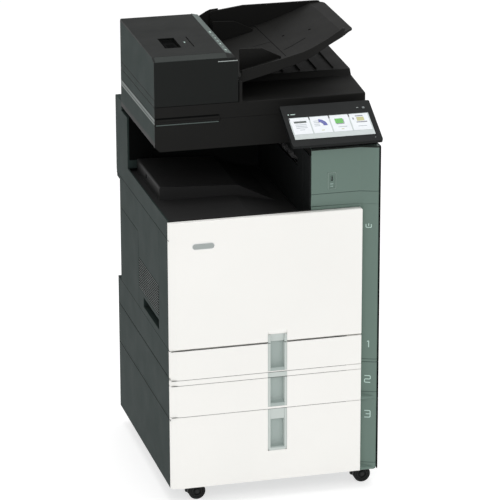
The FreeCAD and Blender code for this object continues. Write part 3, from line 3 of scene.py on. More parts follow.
import bmesh
import bpy
from mathutils import Matrix, Vector


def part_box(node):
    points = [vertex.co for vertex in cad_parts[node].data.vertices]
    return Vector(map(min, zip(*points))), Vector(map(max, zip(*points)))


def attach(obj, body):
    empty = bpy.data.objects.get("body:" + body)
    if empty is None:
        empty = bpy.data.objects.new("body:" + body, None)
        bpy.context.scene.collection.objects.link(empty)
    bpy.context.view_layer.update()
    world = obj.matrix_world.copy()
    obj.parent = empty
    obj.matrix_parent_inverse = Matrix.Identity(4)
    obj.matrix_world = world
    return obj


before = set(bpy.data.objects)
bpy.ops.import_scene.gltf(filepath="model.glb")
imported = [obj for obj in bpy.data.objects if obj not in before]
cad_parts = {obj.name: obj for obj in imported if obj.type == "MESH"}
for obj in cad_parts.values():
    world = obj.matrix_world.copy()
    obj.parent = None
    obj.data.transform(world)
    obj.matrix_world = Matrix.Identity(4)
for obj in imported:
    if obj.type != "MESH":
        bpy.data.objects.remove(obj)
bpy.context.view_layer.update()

MM = 0.001


# --- Camera, light and floor ---------------------------------------------------------------

CAMERA_PLACE = (-2.1010, -8.1088, 3.4972)
CAMERA_TURN = (71.190, 0.124, -14.650)     # degrees
CAMERA_LENS = 217.89                       # on a 36 mm wide frame
SENSOR_WIDTH = 36.0

WORLD_STRENGTH = 0.55
FLOOR_GLOW = 0.66                          # keeps the pale floor as bright as the background
FLOOR_REACH = 30.0                         # half the floor's side, in metres
LIGHT_TARGET = (0.0, 0.0, 0.7)
LIGHTS = (                                 # name, place, size and power in watts
    ("key", (-0.6, -4.2, 3.4), 2.4, 36.0),
    ("side", (-4.2, 0.4, 2.6), 2.2, 4.0),
    ("top", (0.2, 0.4, 5.0), 3.4, 110.0),
)


def add_camera():
    data = bpy.data.cameras.new("camera")
    data.lens = CAMERA_LENS
    data.sensor_width = SENSOR_WIDTH
    data.clip_end = 60.0
    camera = bpy.data.objects.new("camera", data)
    camera.location = CAMERA_PLACE
    camera.rotation_euler = [math.radians(angle) for angle in CAMERA_TURN]
    bpy.context.scene.collection.objects.link(camera)
    bpy.context.scene.camera = camera
    bpy.context.scene.view_settings.view_transform = "Standard"


def add_area_light(name, place, target, size, power):
    data = bpy.data.lights.new(name, "AREA")
    data.shape = "RECTANGLE"
    data.size, data.size_y = size
    data.energy = power
    light = bpy.data.objects.new(name, data)
    light.location = place
    light.rotation_euler = (Vector(target) - Vector(place)).to_track_quat("-Z", "Y").to_euler()
    bpy.context.scene.collection.objects.link(light)


def add_studio():
    world = bpy.data.worlds.new("studio")
    world.use_nodes = True
    background = world.node_tree.nodes["Background"]
    background.inputs["Color"].default_value = (1.0, 1.0, 1.0, 1.0)
    background.inputs["Strength"].default_value = WORLD_STRENGTH
    bpy.context.scene.world = world
    for name, place, size, power in LIGHTS:
        add_area_light(name, place, LIGHT_TARGET, (size, size), power)
    floor_mesh = bpy.data.meshes.new("floor")
    low, high = -FLOOR_REACH, FLOOR_REACH
    corners = [(low, low, 0), (high, low, 0), (high, high, 0), (low, high, 0)]
    floor_mesh.from_pydata(corners, [], [(0, 1, 2, 3)])
    floor = bpy.data.objects.new("floor", floor_mesh)
    bpy.context.scene.collection.objects.link(floor)
    floor.data.materials.append(FLOOR)


# --- Materials -----------------------------------------------------------------------------

ROUGH_SPREAD = 0.08                        # how far the roughness drifts to each side


def shader(name):
    """A new material, its node tree and its shader."""
    material = bpy.data.materials.new(name)
    material.use_nodes = True
    return material, material.node_tree, material.node_tree.nodes["Principled BSDF"]


def add_node(tree, kind, **values):
    """Node of a kind, with the values of its unlinked sockets."""
    node = tree.nodes.new(kind)
    for socket, value in values.items():
        node.inputs[socket.replace("_", " ")].default_value = value
    return node


def noise(tree, scale, detail=3.0, stretch=(1.0, 1.0, 1.0)):
    """Noise in the object's own space, features about 1/scale metres wide."""
    place = tree.nodes.new("ShaderNodeTexCoord")
    mapping = add_node(tree, "ShaderNodeMapping", Scale=stretch)
    texture = add_node(tree, "ShaderNodeTexNoise", Scale=scale, Detail=detail)
    tree.links.new(place.outputs["Object"], mapping.inputs["Vector"])
    tree.links.new(mapping.outputs["Vector"], texture.inputs["Vector"])
    return texture


def ramp(tree, source, low, high, at=(0.35, 0.65)):
    """Colour ramp between two colours, driven by a socket."""
    node = tree.nodes.new("ShaderNodeValToRGB")
    node.color_ramp.elements[0].position = at[0]
    node.color_ramp.elements[1].position = at[1]
    node.color_ramp.elements[0].color = (*low, 1.0)
    node.color_ramp.elements[1].color = (*high, 1.0)
    tree.links.new(source, node.inputs["Fac"])
    return node


def shade(color, factor):
    return tuple(min(1.0, channel * factor) for channel in color)


def from_srgb(red, green, blue):
    """Linear colour from 0-255 values."""
    linear = []
    for value in (red, green, blue):
        share = value / 255
        linear.append(share / 12.92 if share <= 0.04045 else ((share + 0.055) / 1.055) ** 2.4)
    return tuple(linear)


def surface(name, color, roughness, grain=900.0, grain_depth=0.06, variation=0.06, edge=0.8,
            metallic=0.0, coat=0.0, stretch=(1.0, 1.0, 1.0), specular=0.5):
    """Moulded plastic, paint or metal: slight colour drift, fine grain, and softened edges.

    grain is in features per metre, and edge is the radius in millimetres that the light sees."""
    material, tree, bsdf = shader(name)
    drift = noise(tree, 2.6, 4.0)
    tint = ramp(tree, drift.outputs["Fac"], shade(color, 1 - variation), shade(color, 1 + variation))
    tree.links.new(tint.outputs["Color"], bsdf.inputs["Base Color"])
    fine = noise(tree, grain, 2.0, stretch)
    bump = add_node(tree, "ShaderNodeBump", Strength=grain_depth, Distance=0.0004)
    tree.links.new(fine.outputs["Fac"], bump.inputs["Height"])
    if edge:
        bevel = add_node(tree, "ShaderNodeBevel", Radius=edge * MM)
        bevel.samples = 4
        tree.links.new(bevel.outputs["Normal"], bump.inputs["Normal"])
    tree.links.new(bump.outputs["Normal"], bsdf.inputs["Normal"])
    gloss = add_node(tree, "ShaderNodeMapRange", To_Min=roughness - ROUGH_SPREAD,
                     To_Max=roughness + ROUGH_SPREAD)
    smear = noise(tree, 14.0, 4.0)
    tree.links.new(smear.outputs["Fac"], gloss.inputs["Value"])
    tree.links.new(gloss.outputs["Result"], bsdf.inputs["Roughness"])
    bsdf.inputs["Metallic"].default_value = metallic
    bsdf.inputs["Coat Weight"].default_value = coat
    bsdf.inputs["Specular IOR Level"].default_value = specular
    return material


def glow(name, color, strength):
    """Part of the lit screen: a matt colour that also gives off a little light."""
    material, tree, bsdf = shader(name)
    drift = noise(tree, 60.0, 2.0)
    tint = ramp(tree, drift.outputs["Fac"], shade(color, 0.96), shade(color, 1.0))
    tree.links.new(tint.outputs["Color"], bsdf.inputs["Base Color"])
    tree.links.new(tint.outputs["Color"], bsdf.inputs["Emission Color"])
    bsdf.inputs["Emission Strength"].default_value = strength
    bsdf.inputs["Roughness"].default_value = 0.25
    return material


def glass(name):
    material, tree, bsdf = shader(name)
    smear = noise(tree, 9.0, 4.0)
    gloss = add_node(tree, "ShaderNodeMapRange", To_Min=0.01, To_Max=0.07)
    tree.links.new(smear.outputs["Fac"], gloss.inputs["Value"])
    tree.links.new(gloss.outputs["Result"], bsdf.inputs["Roughness"])
    bsdf.inputs["Base Color"].default_value = (0.80, 0.92, 0.90, 1.0)
    bsdf.inputs["Transmission Weight"].default_value = 0.9
    bsdf.inputs["IOR"].default_value = 1.5
    return material


def pale_floor():
    material = surface("floor", (0.55, 0.55, 0.55), 0.6, grain=60.0, grain_depth=0.02, variation=0.01, edge=0)
    bsdf = material.node_tree.nodes["Principled BSDF"]
    bsdf.inputs["Emission Color"].default_value = (1.0, 1.0, 1.0, 1.0)
    bsdf.inputs["Emission Strength"].default_value = FLOOR_GLOW
    return material


FLOOR = pale_floor()
WHITE = surface("white_panel", from_srgb(247, 246, 242), 0.34, grain=1400.0, grain_depth=0.03,
                variation=0.012)
GREEN = surface("green_panel", from_srgb(103, 123, 114), 0.36, grain=1200.0, grain_depth=0.04, variation=0.02,
                specular=0.3)
SIDE = surface("side_grey", from_srgb(46, 56, 54), 0.60, grain=1100.0, grain_depth=0.10, variation=0.025,
               specular=0.05)
FEEDER = surface("feeder_grey", from_srgb(27, 29, 28), 0.50, grain=1400.0, grain_depth=0.05, variation=0.03,
                 specular=0.09)
BLACK = surface("black_plastic", from_srgb(26, 26, 25), 0.50, grain=1000.0, grain_depth=0.08, variation=0.03,
                specular=0.09)
# Lighter copies of the black plastic, painted light: they brighten the output tray and bin liner where they
# sit in shade.
TRAY_BLACK = surface("tray_black", from_srgb(42, 42, 42), 0.5, grain=900.0, grain_depth=0.08, variation=0.03,
                     specular=0.12)
LINER_BLACK = surface("liner_black", from_srgb(29, 31, 31), 0.5, grain=900.0, grain_depth=0.08,
                      variation=0.03, specular=0.12)
# Near-black for painted shade: sheets in recesses, openings and seams, and the painted dark reflection on the
# strip's right edge; the latch handle, the input tray's lines and the back seams use it too.
DEEP_BLACK = surface("deep_black", from_srgb(12, 13, 13), 0.75, grain=900.0, grain_depth=0.08, variation=0.03,
                     specular=0.02)
BEZEL = surface("bezel_black", from_srgb(23, 25, 25), 0.42, grain=1600.0, grain_depth=0.02, variation=0.03,
                specular=0.08)
STEEL = surface("frame_steel", (0.52, 0.53, 0.54), 0.36, grain=260.0, grain_depth=0.05, metallic=1.0,
                stretch=(1.0, 1.0, 9.0))
LIFT_STEEL = surface("lift_steel", (0.58, 0.59, 0.60), 0.30, grain=300.0, grain_depth=0.04, metallic=1.0,
                     stretch=(12.0, 1.0, 1.0))
BIN = surface("bin_plastic", from_srgb(52, 56, 56), 0.5, grain=1000.0, grain_depth=0.10)
GUIDE = surface("guide_plastic", from_srgb(96, 130, 122), 0.4, grain=1200.0, grain_depth=0.05)
CASTER = surface("caster_plastic", from_srgb(22, 23, 23), 0.45, grain=800.0, grain_depth=0.08, specular=0.3)
TREAD = surface("wheel_rubber", from_srgb(18, 19, 19), 0.62, grain=700.0, grain_depth=0.15, variation=0.15,
                specular=0.25)
RUBBER = surface("roller_rubber", from_srgb(70, 70, 70), 0.7, grain=1500.0, grain_depth=0.2)
TONER = surface("toner_plastic", from_srgb(60, 62, 64), 0.42, grain=1200.0)
CYAN = surface("cyan_cap", from_srgb(40, 140, 180), 0.4, grain=1300.0, grain_depth=0.04, variation=0.03)
MAGENTA = surface("magenta_cap", from_srgb(180, 50, 110), 0.4, grain=1300.0, grain_depth=0.04, variation=0.03)
YELLOW = surface("yellow_cap", from_srgb(220, 190, 60), 0.4, grain=1300.0, grain_depth=0.04, variation=0.03)
DRUM = surface("drum_unit", from_srgb(44, 52, 58), 0.4, grain=1200.0)
BELT = surface("belt_film", from_srgb(34, 33, 32), 0.16, grain=400.0, grain_depth=0.01, coat=0.3)
LASER = surface("laser_case", (0.50, 0.51, 0.52), 0.5, grain=500.0, grain_depth=0.12, metallic=1.0)
FUSER = surface("fuser_case", from_srgb(92, 92, 94), 0.45, grain=900.0, grain_depth=0.08, metallic=0.3)
PAD = surface("pad_white", from_srgb(244, 244, 242), 0.7, grain=1500.0, grain_depth=0.12, variation=0.02)
INLET = surface("inlet_black", from_srgb(24, 24, 25), 0.45, grain=1000.0, specular=0.3)
BUTTON = surface("button_grey", from_srgb(92, 100, 100), 0.3, grain=1400.0, grain_depth=0.02)
GRIP = surface("grip_green", from_srgb(172, 184, 180), 0.34, grain=1200.0, grain_depth=0.03, variation=0.02,
               specular=0.35)
GRIP_RIM = surface("grip_rim", from_srgb(199, 207, 203), 0.30, grain=1200.0, grain_depth=0.03, variation=0.02,
                   specular=0.35)
MARK = surface("pale_mark", from_srgb(190, 214, 205), 0.5, grain=1500.0, grain_depth=0.03,
               variation=0.02, edge=0)
# Darker green for painted shade in the seams across the strip and above the scoop.
SEAM_GREEN = surface("seam_green", from_srgb(62, 76, 69), 0.5, grain=1200.0, grain_depth=0.03,
                     variation=0.02, specular=0.2)
# Paler copy of the feeder grey: painted highlight on the lid's front slope.
FEEDER_HIGHLIGHT = surface("feeder_painted_highlight", from_srgb(39, 44, 42), 0.42, grain=1400.0, grain_depth=0.05,
                      variation=0.03, specular=0.12)
PALE_GREEN = surface("pale_green", from_srgb(128, 146, 137), 0.4, grain=1300.0, grain_depth=0.03,
                     variation=0.02, specular=0.3)
SEAM_GREY = surface("seam_grey", from_srgb(70, 72, 71), 0.6, grain=900.0, grain_depth=0.08, variation=0.03,
                    specular=0.05)
GREY_MARK = surface("grey_mark", from_srgb(160, 167, 165), 0.4, grain=1500.0, grain_depth=0.03,
                    variation=0.03)
SILVER = surface("silver_trim", (0.72, 0.73, 0.73), 0.28, grain=500.0, grain_depth=0.03, metallic=1.0)
# Paler grey-green for painted highlights: the bands on the left side, the lip of the lifting recess and the
# lid's sloping right edge; the louvre blades use it too.
BAND = surface("light_band", from_srgb(80, 91, 88), 0.42, grain=1300.0, grain_depth=0.05, variation=0.03,
               specular=0.3)
GLASS = glass("clear_glass")
SCREEN = glow("screen", from_srgb(170, 179, 178), 0.10)
SCREEN_WHITE = glow("screen_white", from_srgb(205, 209, 213), 0.16)
SCREEN_GREY = glow("screen_grey", from_srgb(172, 180, 179), 0.10)
SCREEN_LINE = glow("screen_line", from_srgb(150, 158, 164), 0.10)
SCREEN_SHADE = glow("screen_shade", from_srgb(110, 112, 122), 0.08)
SCREEN_DARK = glow("screen_dark", from_srgb(30, 36, 38), 0.02)
SCREEN_TEAL = glow("screen_teal", from_srgb(8, 40, 34), 0.02)
SCREEN_BLUE = glow("screen_blue", from_srgb(44, 54, 142), 0.05)
SCREEN_GREEN = glow("screen_green", from_srgb(56, 158, 30), 0.05)
SCREEN_YELLOW = glow("screen_yellow", from_srgb(172, 170, 112), 0.04)

NODE_MATERIALS = {
    "cabinet_shell": SIDE, "tray_2_shell": SIDE, "left_cover": SIDE, "left_upper_cover": SIDE,
    "right_cover": SIDE, "right_door": SIDE, "bypass_tray": SIDE, "rear_cover": SIDE,
    "cabinet_strip": GREEN, "tray_2_strip": GREEN, "main_strip": GREEN, "column_cover": GREEN,
    "tray_1_front": WHITE, "tray_2_front": WHITE, "tray_2_front_rail": WHITE, "tray_3_front": WHITE,
    "front_door": WHITE,
    "tray_1_bin": BIN, "tray_2_bin": BIN, "tray_3_bin": BIN,
    "tray_1_lift_plate": LIFT_STEEL, "tray_2_lift_plate": LIFT_STEEL, "tray_3_lift_plates": LIFT_STEEL,
    "tray_1_front_guide": GUIDE, "tray_1_rear_guide": GUIDE, "tray_1_end_guide": GUIDE,
    "tray_2_front_guide": GUIDE, "tray_2_rear_guide": GUIDE,
    "main_frame": STEEL, "bin_liner": LINER_BLACK, "output_tray": TRAY_BLACK,
    "exit_roller": RUBBER, "adf_roller": RUBBER,
    "toner_cartridges": TONER, "imaging_units": DRUM, "transfer_belt_unit": BELT, "laser_unit": LASER,
    "fuser": FUSER, "power_inlet": INLET, "power_switch": INLET,
    "scanner_housing": BLACK, "platen_glass": GLASS, "scan_carriage": BEZEL,
    "document_cover": BLACK, "platen_pad": PAD, "adf_cover": FEEDER, "input_tray": BLACK,
    "adf_guide_front": BLACK, "adf_guide_rear": BLACK,
    "panel_housing": BEZEL, "touch_screen": SCREEN, "power_button": BUTTON,
}
CORNERS = ("front_left", "front_right", "rear_left", "rear_right")
for corner in CORNERS:
    NODE_MATERIALS["caster_fork_" + corner] = CASTER
    NODE_MATERIALS["caster_wheels_" + corner] = TREAD


def paint_nodes():
    for name, material in NODE_MATERIALS.items():
        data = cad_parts[name].data
        if not data.materials:
            data.materials.append(material)
        for index in range(len(data.materials)):
            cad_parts[name].material_slots[index].material = material


# --- Mesh helpers: every length is in millimetres until a piece is finished ------------------

BEVEL_ANGLE = math.radians(35)             # sharper edges than this are rounded
SMOOTH_ANGLE = math.radians(40)            # flatter edges than this are shaded smooth


def place_3d(axis, a, b, along):
    """Point from its two coordinates across an axis and one along it."""
    if axis == "x":
        return (along, a, b)
    if axis == "y":
        return (a, along, b)
    return (a, b, along)


def rounded(low_a, low_b, high_a, high_b, radius, steps=5):
    """Outline of a rectangle with round corners; radius is one value or one for each corner."""
    radii = radius if isinstance(radius, tuple) else (radius,) * 4
    centres = ((low_a, low_b, 1, 1, 180), (high_a, low_b, -1, 1, 270),
               (high_a, high_b, -1, -1, 0), (low_a, high_b, 1, -1, 90))
    points = []
    for (a, b, way_a, way_b, start), corner in zip(centres, radii):
        if corner <= 0:
            points.append((a, b))
            continue
        for step in range(steps + 1):
            angle = math.radians(start + 90 * step / steps)
            points.append((a + way_a * corner + corner * math.cos(angle),
                           b + way_b * corner + corner * math.sin(angle)))
    return points


def disc(centre_a, centre_b, radius, steps=24):
    angles = [2 * math.pi * step / steps for step in range(steps)]
    return [(centre_a + radius * math.cos(angle), centre_b + radius * math.sin(angle)) for angle in angles]


def loft(mesh, rings):
    """Closed solid through a row of rings, each a list of as many points."""
    rings = [[mesh.verts.new(point) for point in ring] for ring in rings]
    for first, second in zip(rings, rings[1:]):
        for index in range(len(first)):
            after = (index + 1) % len(first)
            mesh.faces.new((first[index], first[after], second[after], second[index]))
    mesh.faces.new(rings[0][::-1])
    mesh.faces.new(rings[-1])


def prism(mesh, outline, axis, low, high):
    """Closed solid with one outline, between two places along an axis."""
    loft(mesh, [[place_3d(axis, a, b, along) for a, b in outline] for along in (low, high)])


def bridge(mesh, rings):
    """Faces from each ring of points to the next, and from the last back to the first."""
    rings = [[mesh.verts.new(point) for point in ring] for ring in rings]
    for first, second in zip(rings, rings[1:] + rings[:1]):
        for index in range(len(first)):
            after = (index + 1) % len(first)
            mesh.faces.new((first[index], first[after], second[after], second[index]))


def frame_prism(mesh, outer, inner, axis, low, high):
    """Ring between two outlines of the same number of points."""
    sections = ((outer, low), (outer, high), (inner, high), (inner, low))
    bridge(mesh, [[place_3d(axis, a, b, along) for a, b in outline] for outline, along in sections])


def stroke(mesh, path, width, place, closed=False):
    """Raised line of even width along a path; place(a, b, height) says where it lies, height 0 or 1."""
    count = len(path)
    sides = []
    for index in range(count):
        before = Vector(path[index - 1]) if closed or index > 0 else None
        here = Vector(path[index])
        after = Vector(path[(index + 1) % count]) if closed or index < count - 1 else None
        inward = (here - before).normalized() if before is not None else None
        onward = (after - here).normalized() if after is not None else None
        inward = inward or onward
        onward = onward or inward
        along = (inward + onward).normalized()
        across = Vector((-along.y, along.x))
        reach = width / 2 / max(0.35, across.dot(Vector((-onward.y, onward.x))))
        sides.append((here + across * reach, here - across * reach))
    verts = []
    for left, right in sides:
        verts.append([mesh.verts.new(place(point.x, point.y, height))
                      for point, height in ((left, 0), (right, 0), (right, 1), (left, 1))])
    last = count if closed else count - 1
    for index in range(last):
        first, second = verts[index], verts[(index + 1) % count]
        for side in range(4):
            after = (side + 1) % 4
            mesh.faces.new((first[side], first[after], second[after], second[side]))
    if not closed:
        mesh.faces.new(verts[0])
        mesh.faces.new(verts[-1][::-1])


def finish_piece(mesh, name, body, material, bevel=0.0):
    """Turns a mesh in millimetres into a piece that rides on a body, with its edges rounded if asked."""
    mesh.transform(Matrix.Scale(MM, 4))
    bmesh.ops.recalc_face_normals(mesh, faces=mesh.faces)
    data = bpy.data.meshes.new(name)
    mesh.to_mesh(data)
    mesh.free()
    piece = bpy.data.objects.new(name, data)
    bpy.context.scene.collection.objects.link(piece)
    data.materials.append(material)
    if bevel:
        rounding = piece.modifiers.new("rounding", "BEVEL")
        rounding.width = bevel * MM
        rounding.segments = 2
        rounding.limit_method = "ANGLE"
        rounding.angle_limit = BEVEL_ANGLE
        rounding.harden_normals = False
    for polygon in data.polygons:
        polygon.use_smooth = True
    data.set_sharp_from_angle(angle=SMOOTH_ANGLE)
    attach(piece, body)
    return piece


def add_plate(name, body, material, slot, outline, axis, low, high, bevel=0.0):
    """Piece made of one plate."""
    mesh = bmesh.new()
    prism(mesh, outline, axis, low, high)
    finish_piece(mesh, name, body, material, bevel)


# --- Drawer grips --------------------------------------------------------------------------

FRONT_Y = -331.5
GRIP_X = (-21.6, 34.1)           # the pale frame's outer sides
CUP_X = (-14.0, 27.0)            # the cup inside it
GRIP_BACK_Y = -311.8
RIM_Y = -332.0
CUP_BACK_Y = -313.6
DOOR_RAMP_TOP = 499.5
DOOR_RAMP_FOOT = 476.0
DOOR_RAMP_SLOPE = 12.0 / 38.4    # how far the door's ramp goes in for each millimetre down
DOOR_RAMP_START = 514.0
CUP_RADIUS = 12.0
CUPS = {                         # low and high Z of each cup, and the height of its lip
    "tray_1": (389.9, 473.4, 10.0),
    "tray_2": (280.9, 369.0, 11.0),
    "tray_3": (146.0, 242.0, 11.0),
}
TRAY_3_RIM_Z = (145.4, 153.0, 242.0, 273.0)    # foot bar, foot of the side bars, top plate
RAIL_PLATE_Z = (370.9, 385.1)


def cup_profile(low, high, lip):
    """Side view of a finger cup: an upright back that curves forward to a lip."""
    points = [(GRIP_BACK_Y, low), (GRIP_BACK_Y, high), (CUP_BACK_Y, high)]
    for step in range(9):
        angle = math.radians(90 * step / 8)
        points.append((CUP_BACK_Y - CUP_RADIUS + CUP_RADIUS * math.cos(angle),
                       low + lip + CUP_RADIUS - CUP_RADIUS * math.sin(angle)))
    points += [(RIM_Y + 1.2, low + lip - 1.0), (RIM_Y + 0.4, low + lip - 2.2), (RIM_Y + 0.4, low)]
    return points


def rim_bars(mesh, low, high):
    for x_low, x_high in ((GRIP_X[0], CUP_X[0]), (CUP_X[1], GRIP_X[1])):
        prism(mesh, rounded(x_low, RIM_Y, x_high, GRIP_BACK_Y, (1.4, 1.4, 0, 0), 3), "z", low, high)


def add_grips():
    """Finger cups and pale rims of the drawers, the plate between them, and the ramp on the door."""
    for tray, (low, high, lip) in CUPS.items():
        add_plate(tray + "_grip_cup", tray, GRIP, "green_panel",
                  cup_profile(low, high, lip), "x", CUP_X[0] - 0.2, CUP_X[1] + 0.2)
    for tray in ("tray_1", "tray_2"):
        mesh = bmesh.new()
        rim_bars(mesh, *CUPS[tray][:2])
        finish_piece(mesh, tray + "_grip_rim", tray, GRIP_RIM, bevel=0.3)
    mesh = bmesh.new()
    foot, bar_foot, plate_foot, top = TRAY_3_RIM_Z
    rim_bars(mesh, bar_foot, top)
    outer = rounded(GRIP_X[0], foot, GRIP_X[1], bar_foot + 0.1, (7.0, 7.0, 0, 0))
    prism(mesh, outer, "y", RIM_Y, GRIP_BACK_Y)
    prism(mesh, rounded(CUP_X[0], RIM_Y + 1.6, CUP_X[1], GRIP_BACK_Y, 0), "z", plate_foot, top)
    finish_piece(mesh, "tray_3_grip_rim", "tray_3", GRIP_RIM, bevel=0.4)
    add_plate("rail_grip_plate", "machine", GRIP_RIM, "green_panel",
              rounded(GRIP_X[0], RAIL_PLATE_Z[0], GRIP_X[1], RAIL_PLATE_Z[1], 0.6),
              "y", RIM_Y, FRONT_Y + 1.9, bevel=0.4)
    mesh = bmesh.new()
    top_y = FRONT_Y + (DOOR_RAMP_START - DOOR_RAMP_TOP) * DOOR_RAMP_SLOPE
    foot_y = FRONT_Y + (DOOR_RAMP_START - DOOR_RAMP_FOOT) * DOOR_RAMP_SLOPE
    wedge = [(RIM_Y, DOOR_RAMP_FOOT), (RIM_Y, DOOR_RAMP_TOP - 1.5), (RIM_Y + 1.0, DOOR_RAMP_TOP),
             (top_y, DOOR_RAMP_TOP), (foot_y - 0.2, DOOR_RAMP_FOOT)]
    for x_low, x_high in ((GRIP_X[0], CUP_X[0]), (CUP_X[1], GRIP_X[1])):
        prism(mesh, wedge, "x", x_low, x_high)
    slope = [(top_y - 0.9, DOOR_RAMP_TOP), (top_y, DOOR_RAMP_TOP), (foot_y, DOOR_RAMP_FOOT),
             (foot_y - 1.8, DOOR_RAMP_FOOT)]
    prism(mesh, slope, "x", CUP_X[0] - 0.1, CUP_X[1] + 0.1)
    finish_piece(mesh, "door_grip_ramp", "front_door", GRIP_RIM, bevel=0.4)


# --- Raised marks and plates ---------------------------------------------------------------

def soften(path, radius, steps=4):
    """Path with its inner corners rounded."""
    points = [Vector(path[0])]
    for before, corner, after in zip(path, path[1:], path[2:]):
        corner = Vector(corner)
        start = corner + (Vector(before) - corner).normalized() * radius
        end = corner + (Vector(after) - corner).normalized() * radius
        for step in range(steps + 1):
            share = step / steps
            points.append(start * (1 - share) ** 2 + corner * 2 * share * (1 - share) + end * share ** 2)
    points.append(Vector(path[-1]))
    return points


STRIP_LEFT = (255.8, -315.5)      # X and Y where the green strip's face starts
STRIP_KNEE = (295.0, -331.5)      # and where it reaches the front plane
DIGIT_WIDTH = 15.6
DIGIT_HEIGHT = 20.6
STROKE = 2.3


def on_strip(x, z, height):
    """Point on the sloping face of the green strip."""
    share = (x - STRIP_LEFT[0]) / (STRIP_KNEE[0] - STRIP_LEFT[0])
    y = STRIP_LEFT[1] + share * (STRIP_KNEE[1] - STRIP_LEFT[1])
    return (x - 0.15 * height, y + 0.25 - 0.75 * height, z)


def add_strip_mark(name, middle, paths, width=STROKE, radius=3.4):
    """Raised lines on the strip; a path is given from the middle of the mark."""
    mesh = bmesh.new()
    for path in paths:
        stroke(mesh, [point + Vector(middle) for point in soften(path, radius)], width, on_strip)
    finish_piece(mesh, name, "machine", MARK)


def add_strip_marks():
    """Numerals beside the drawers and a small tray symbol."""
    a, b = DIGIT_WIDTH / 2, DIGIT_HEIGHT / 2
    digits = {
        "digit_1": ((277.0, 442.0), [[(-2.4, b - 3.4), (1.8, b), (1.8, -b)]]),
        "digit_2": ((276.5, 334.0), [[(-a, b), (a, b), (a, 0), (-a, 0), (-a, -b), (a, -b)]]),
        "digit_3": ((277.0, 226.0), [[(-a, b), (a, b), (a, -b), (-a, -b)], [(-a / 2, 0), (a, 0)]]),
    }
    for name, (middle, paths) in digits.items():
        add_strip_mark(name, middle, paths)
    tray_icon = [[(-7.0, 5.0), (-7.0, -5.0), (7.0, -5.0), (7.0, 5.0)], [(0.0, 6.5), (0.0, -0.5)]]
    add_strip_mark("strip_icon", (275.5, 799.0), tray_icon, width=2.2, radius=2.6)


BADGE_X = (-241.0, -176.0)
BADGE_Z = (773.0, 792.0)


def add_badge():
    """Plain pill-shaped plate on the front door: a raised rim around a flat field."""
    mesh = bmesh.new()
    outer = rounded(BADGE_X[0], BADGE_Z[0], BADGE_X[1], BADGE_Z[1], 9.4, 8)
    inner = rounded(BADGE_X[0] + 1.6, BADGE_Z[0] + 1.6, BADGE_X[1] - 1.6, BADGE_Z[1] - 1.6, 7.8, 8)
    frame_prism(mesh, outer, inner, "y", FRONT_Y - 0.9, FRONT_Y + 0.2)
    finish_piece(mesh, "badge_rim", "front_door", SILVER, bevel=0.2)
    add_plate("badge_field", "front_door", GREY_MARK, "side_grey",
              inner, "y", FRONT_Y - 0.55, FRONT_Y + 0.2)


# --- USB socket in the column --------------------------------------------------------------

COLUMN_FACE_Y = -315.5
USB_X = 169.0
USB_POCKET_X = (156.5, 181.5)
USB_POCKET_Z = (913.5, 963.5)
USB_SLOT_X = (166.5, 171.5)
USB_SLOT_Z = (938.0, 951.0)
USB_MARKS = ((929.0, (-4.6, -1.6, 1.4)), (922.0, (-3.2, 0.4)))    # Z of a row, and X from the middle


def add_usb_plate():
    """Frame, tongue and marks of the USB socket."""
    mesh = bmesh.new()
    x, z = USB_POCKET_X, USB_POCKET_Z
    outer = rounded(x[0] + 0.2, z[0] + 0.2, x[1] - 0.2, z[1] - 0.2, 2.4)
    inner = rounded(x[0] + 2.4, z[0] + 2.4, x[1] - 2.4, z[1] - 2.4, 1.6)
    frame_prism(mesh, outer, inner, "y", COLUMN_FACE_Y - 0.5, COLUMN_FACE_Y + 1.0)
    finish_piece(mesh, "usb_plate_rim", "machine", PALE_GREEN, bevel=0.3)
    mesh = bmesh.new()
    slot_outer = rounded(USB_SLOT_X[0] - 2.0, USB_SLOT_Z[0] - 2.0,
                         USB_SLOT_X[1] + 2.0, USB_SLOT_Z[1] + 2.0, 1.2)
    slot_inner = rounded(USB_SLOT_X[0], USB_SLOT_Z[0], USB_SLOT_X[1], USB_SLOT_Z[1], 0.4)
    frame_prism(mesh, slot_outer, slot_inner, "y", COLUMN_FACE_Y - 0.1, COLUMN_FACE_Y + 1.1)
    finish_piece(mesh, "usb_slot_frame", "machine", GREEN, bevel=0.2)
    mesh = bmesh.new()
    tongue = rounded(USB_X - 1.0, USB_SLOT_Z[0] + 1.2, USB_X + 0.9, USB_SLOT_Z[1] - 1.2, 0.2)
    prism(mesh, tongue, "y", COLUMN_FACE_Y + 2.5, COLUMN_FACE_Y + 6.0)
    finish_piece(mesh, "usb_tongue", "machine", BUTTON)
    mesh = bmesh.new()
    for z, offsets in USB_MARKS:
        for offset in offsets:
            left = USB_X + offset
            prism(mesh, rounded(left, z - 1.0, left + 1.9, z + 1.0, 0.5, 3), "y", COLUMN_FACE_Y + 0.9,
                  COLUMN_FACE_Y + 1.3)
    finish_piece(mesh, "usb_marks", "machine", MARK)


# --- Control panel -------------------------------------------------------------------------

PANEL_EDGE = (-351.5, 1058.0)     # Y and Z of the panel's front edge
PANEL_TILT = math.radians(27.7)
SCREEN_X = (58.0, 292.0)
SCREEN_ALONG = (26.0, 114.0)


def on_panel(x, along, rise):
    """Point at x, so far up the panel from its front edge, so far off its face."""
    return (x, PANEL_EDGE[0] + along * math.cos(PANEL_TILT) - rise * math.sin(PANEL_TILT),
            PANEL_EDGE[1] + along * math.sin(PANEL_TILT) + rise * math.cos(PANEL_TILT))


def panel_slab(mesh, outline, low, high):
    """Flat plate on the panel's face with an outline in x and along."""
    loft(mesh, [[on_panel(a, b, rise) for a, b in outline] for rise in (low, high)])


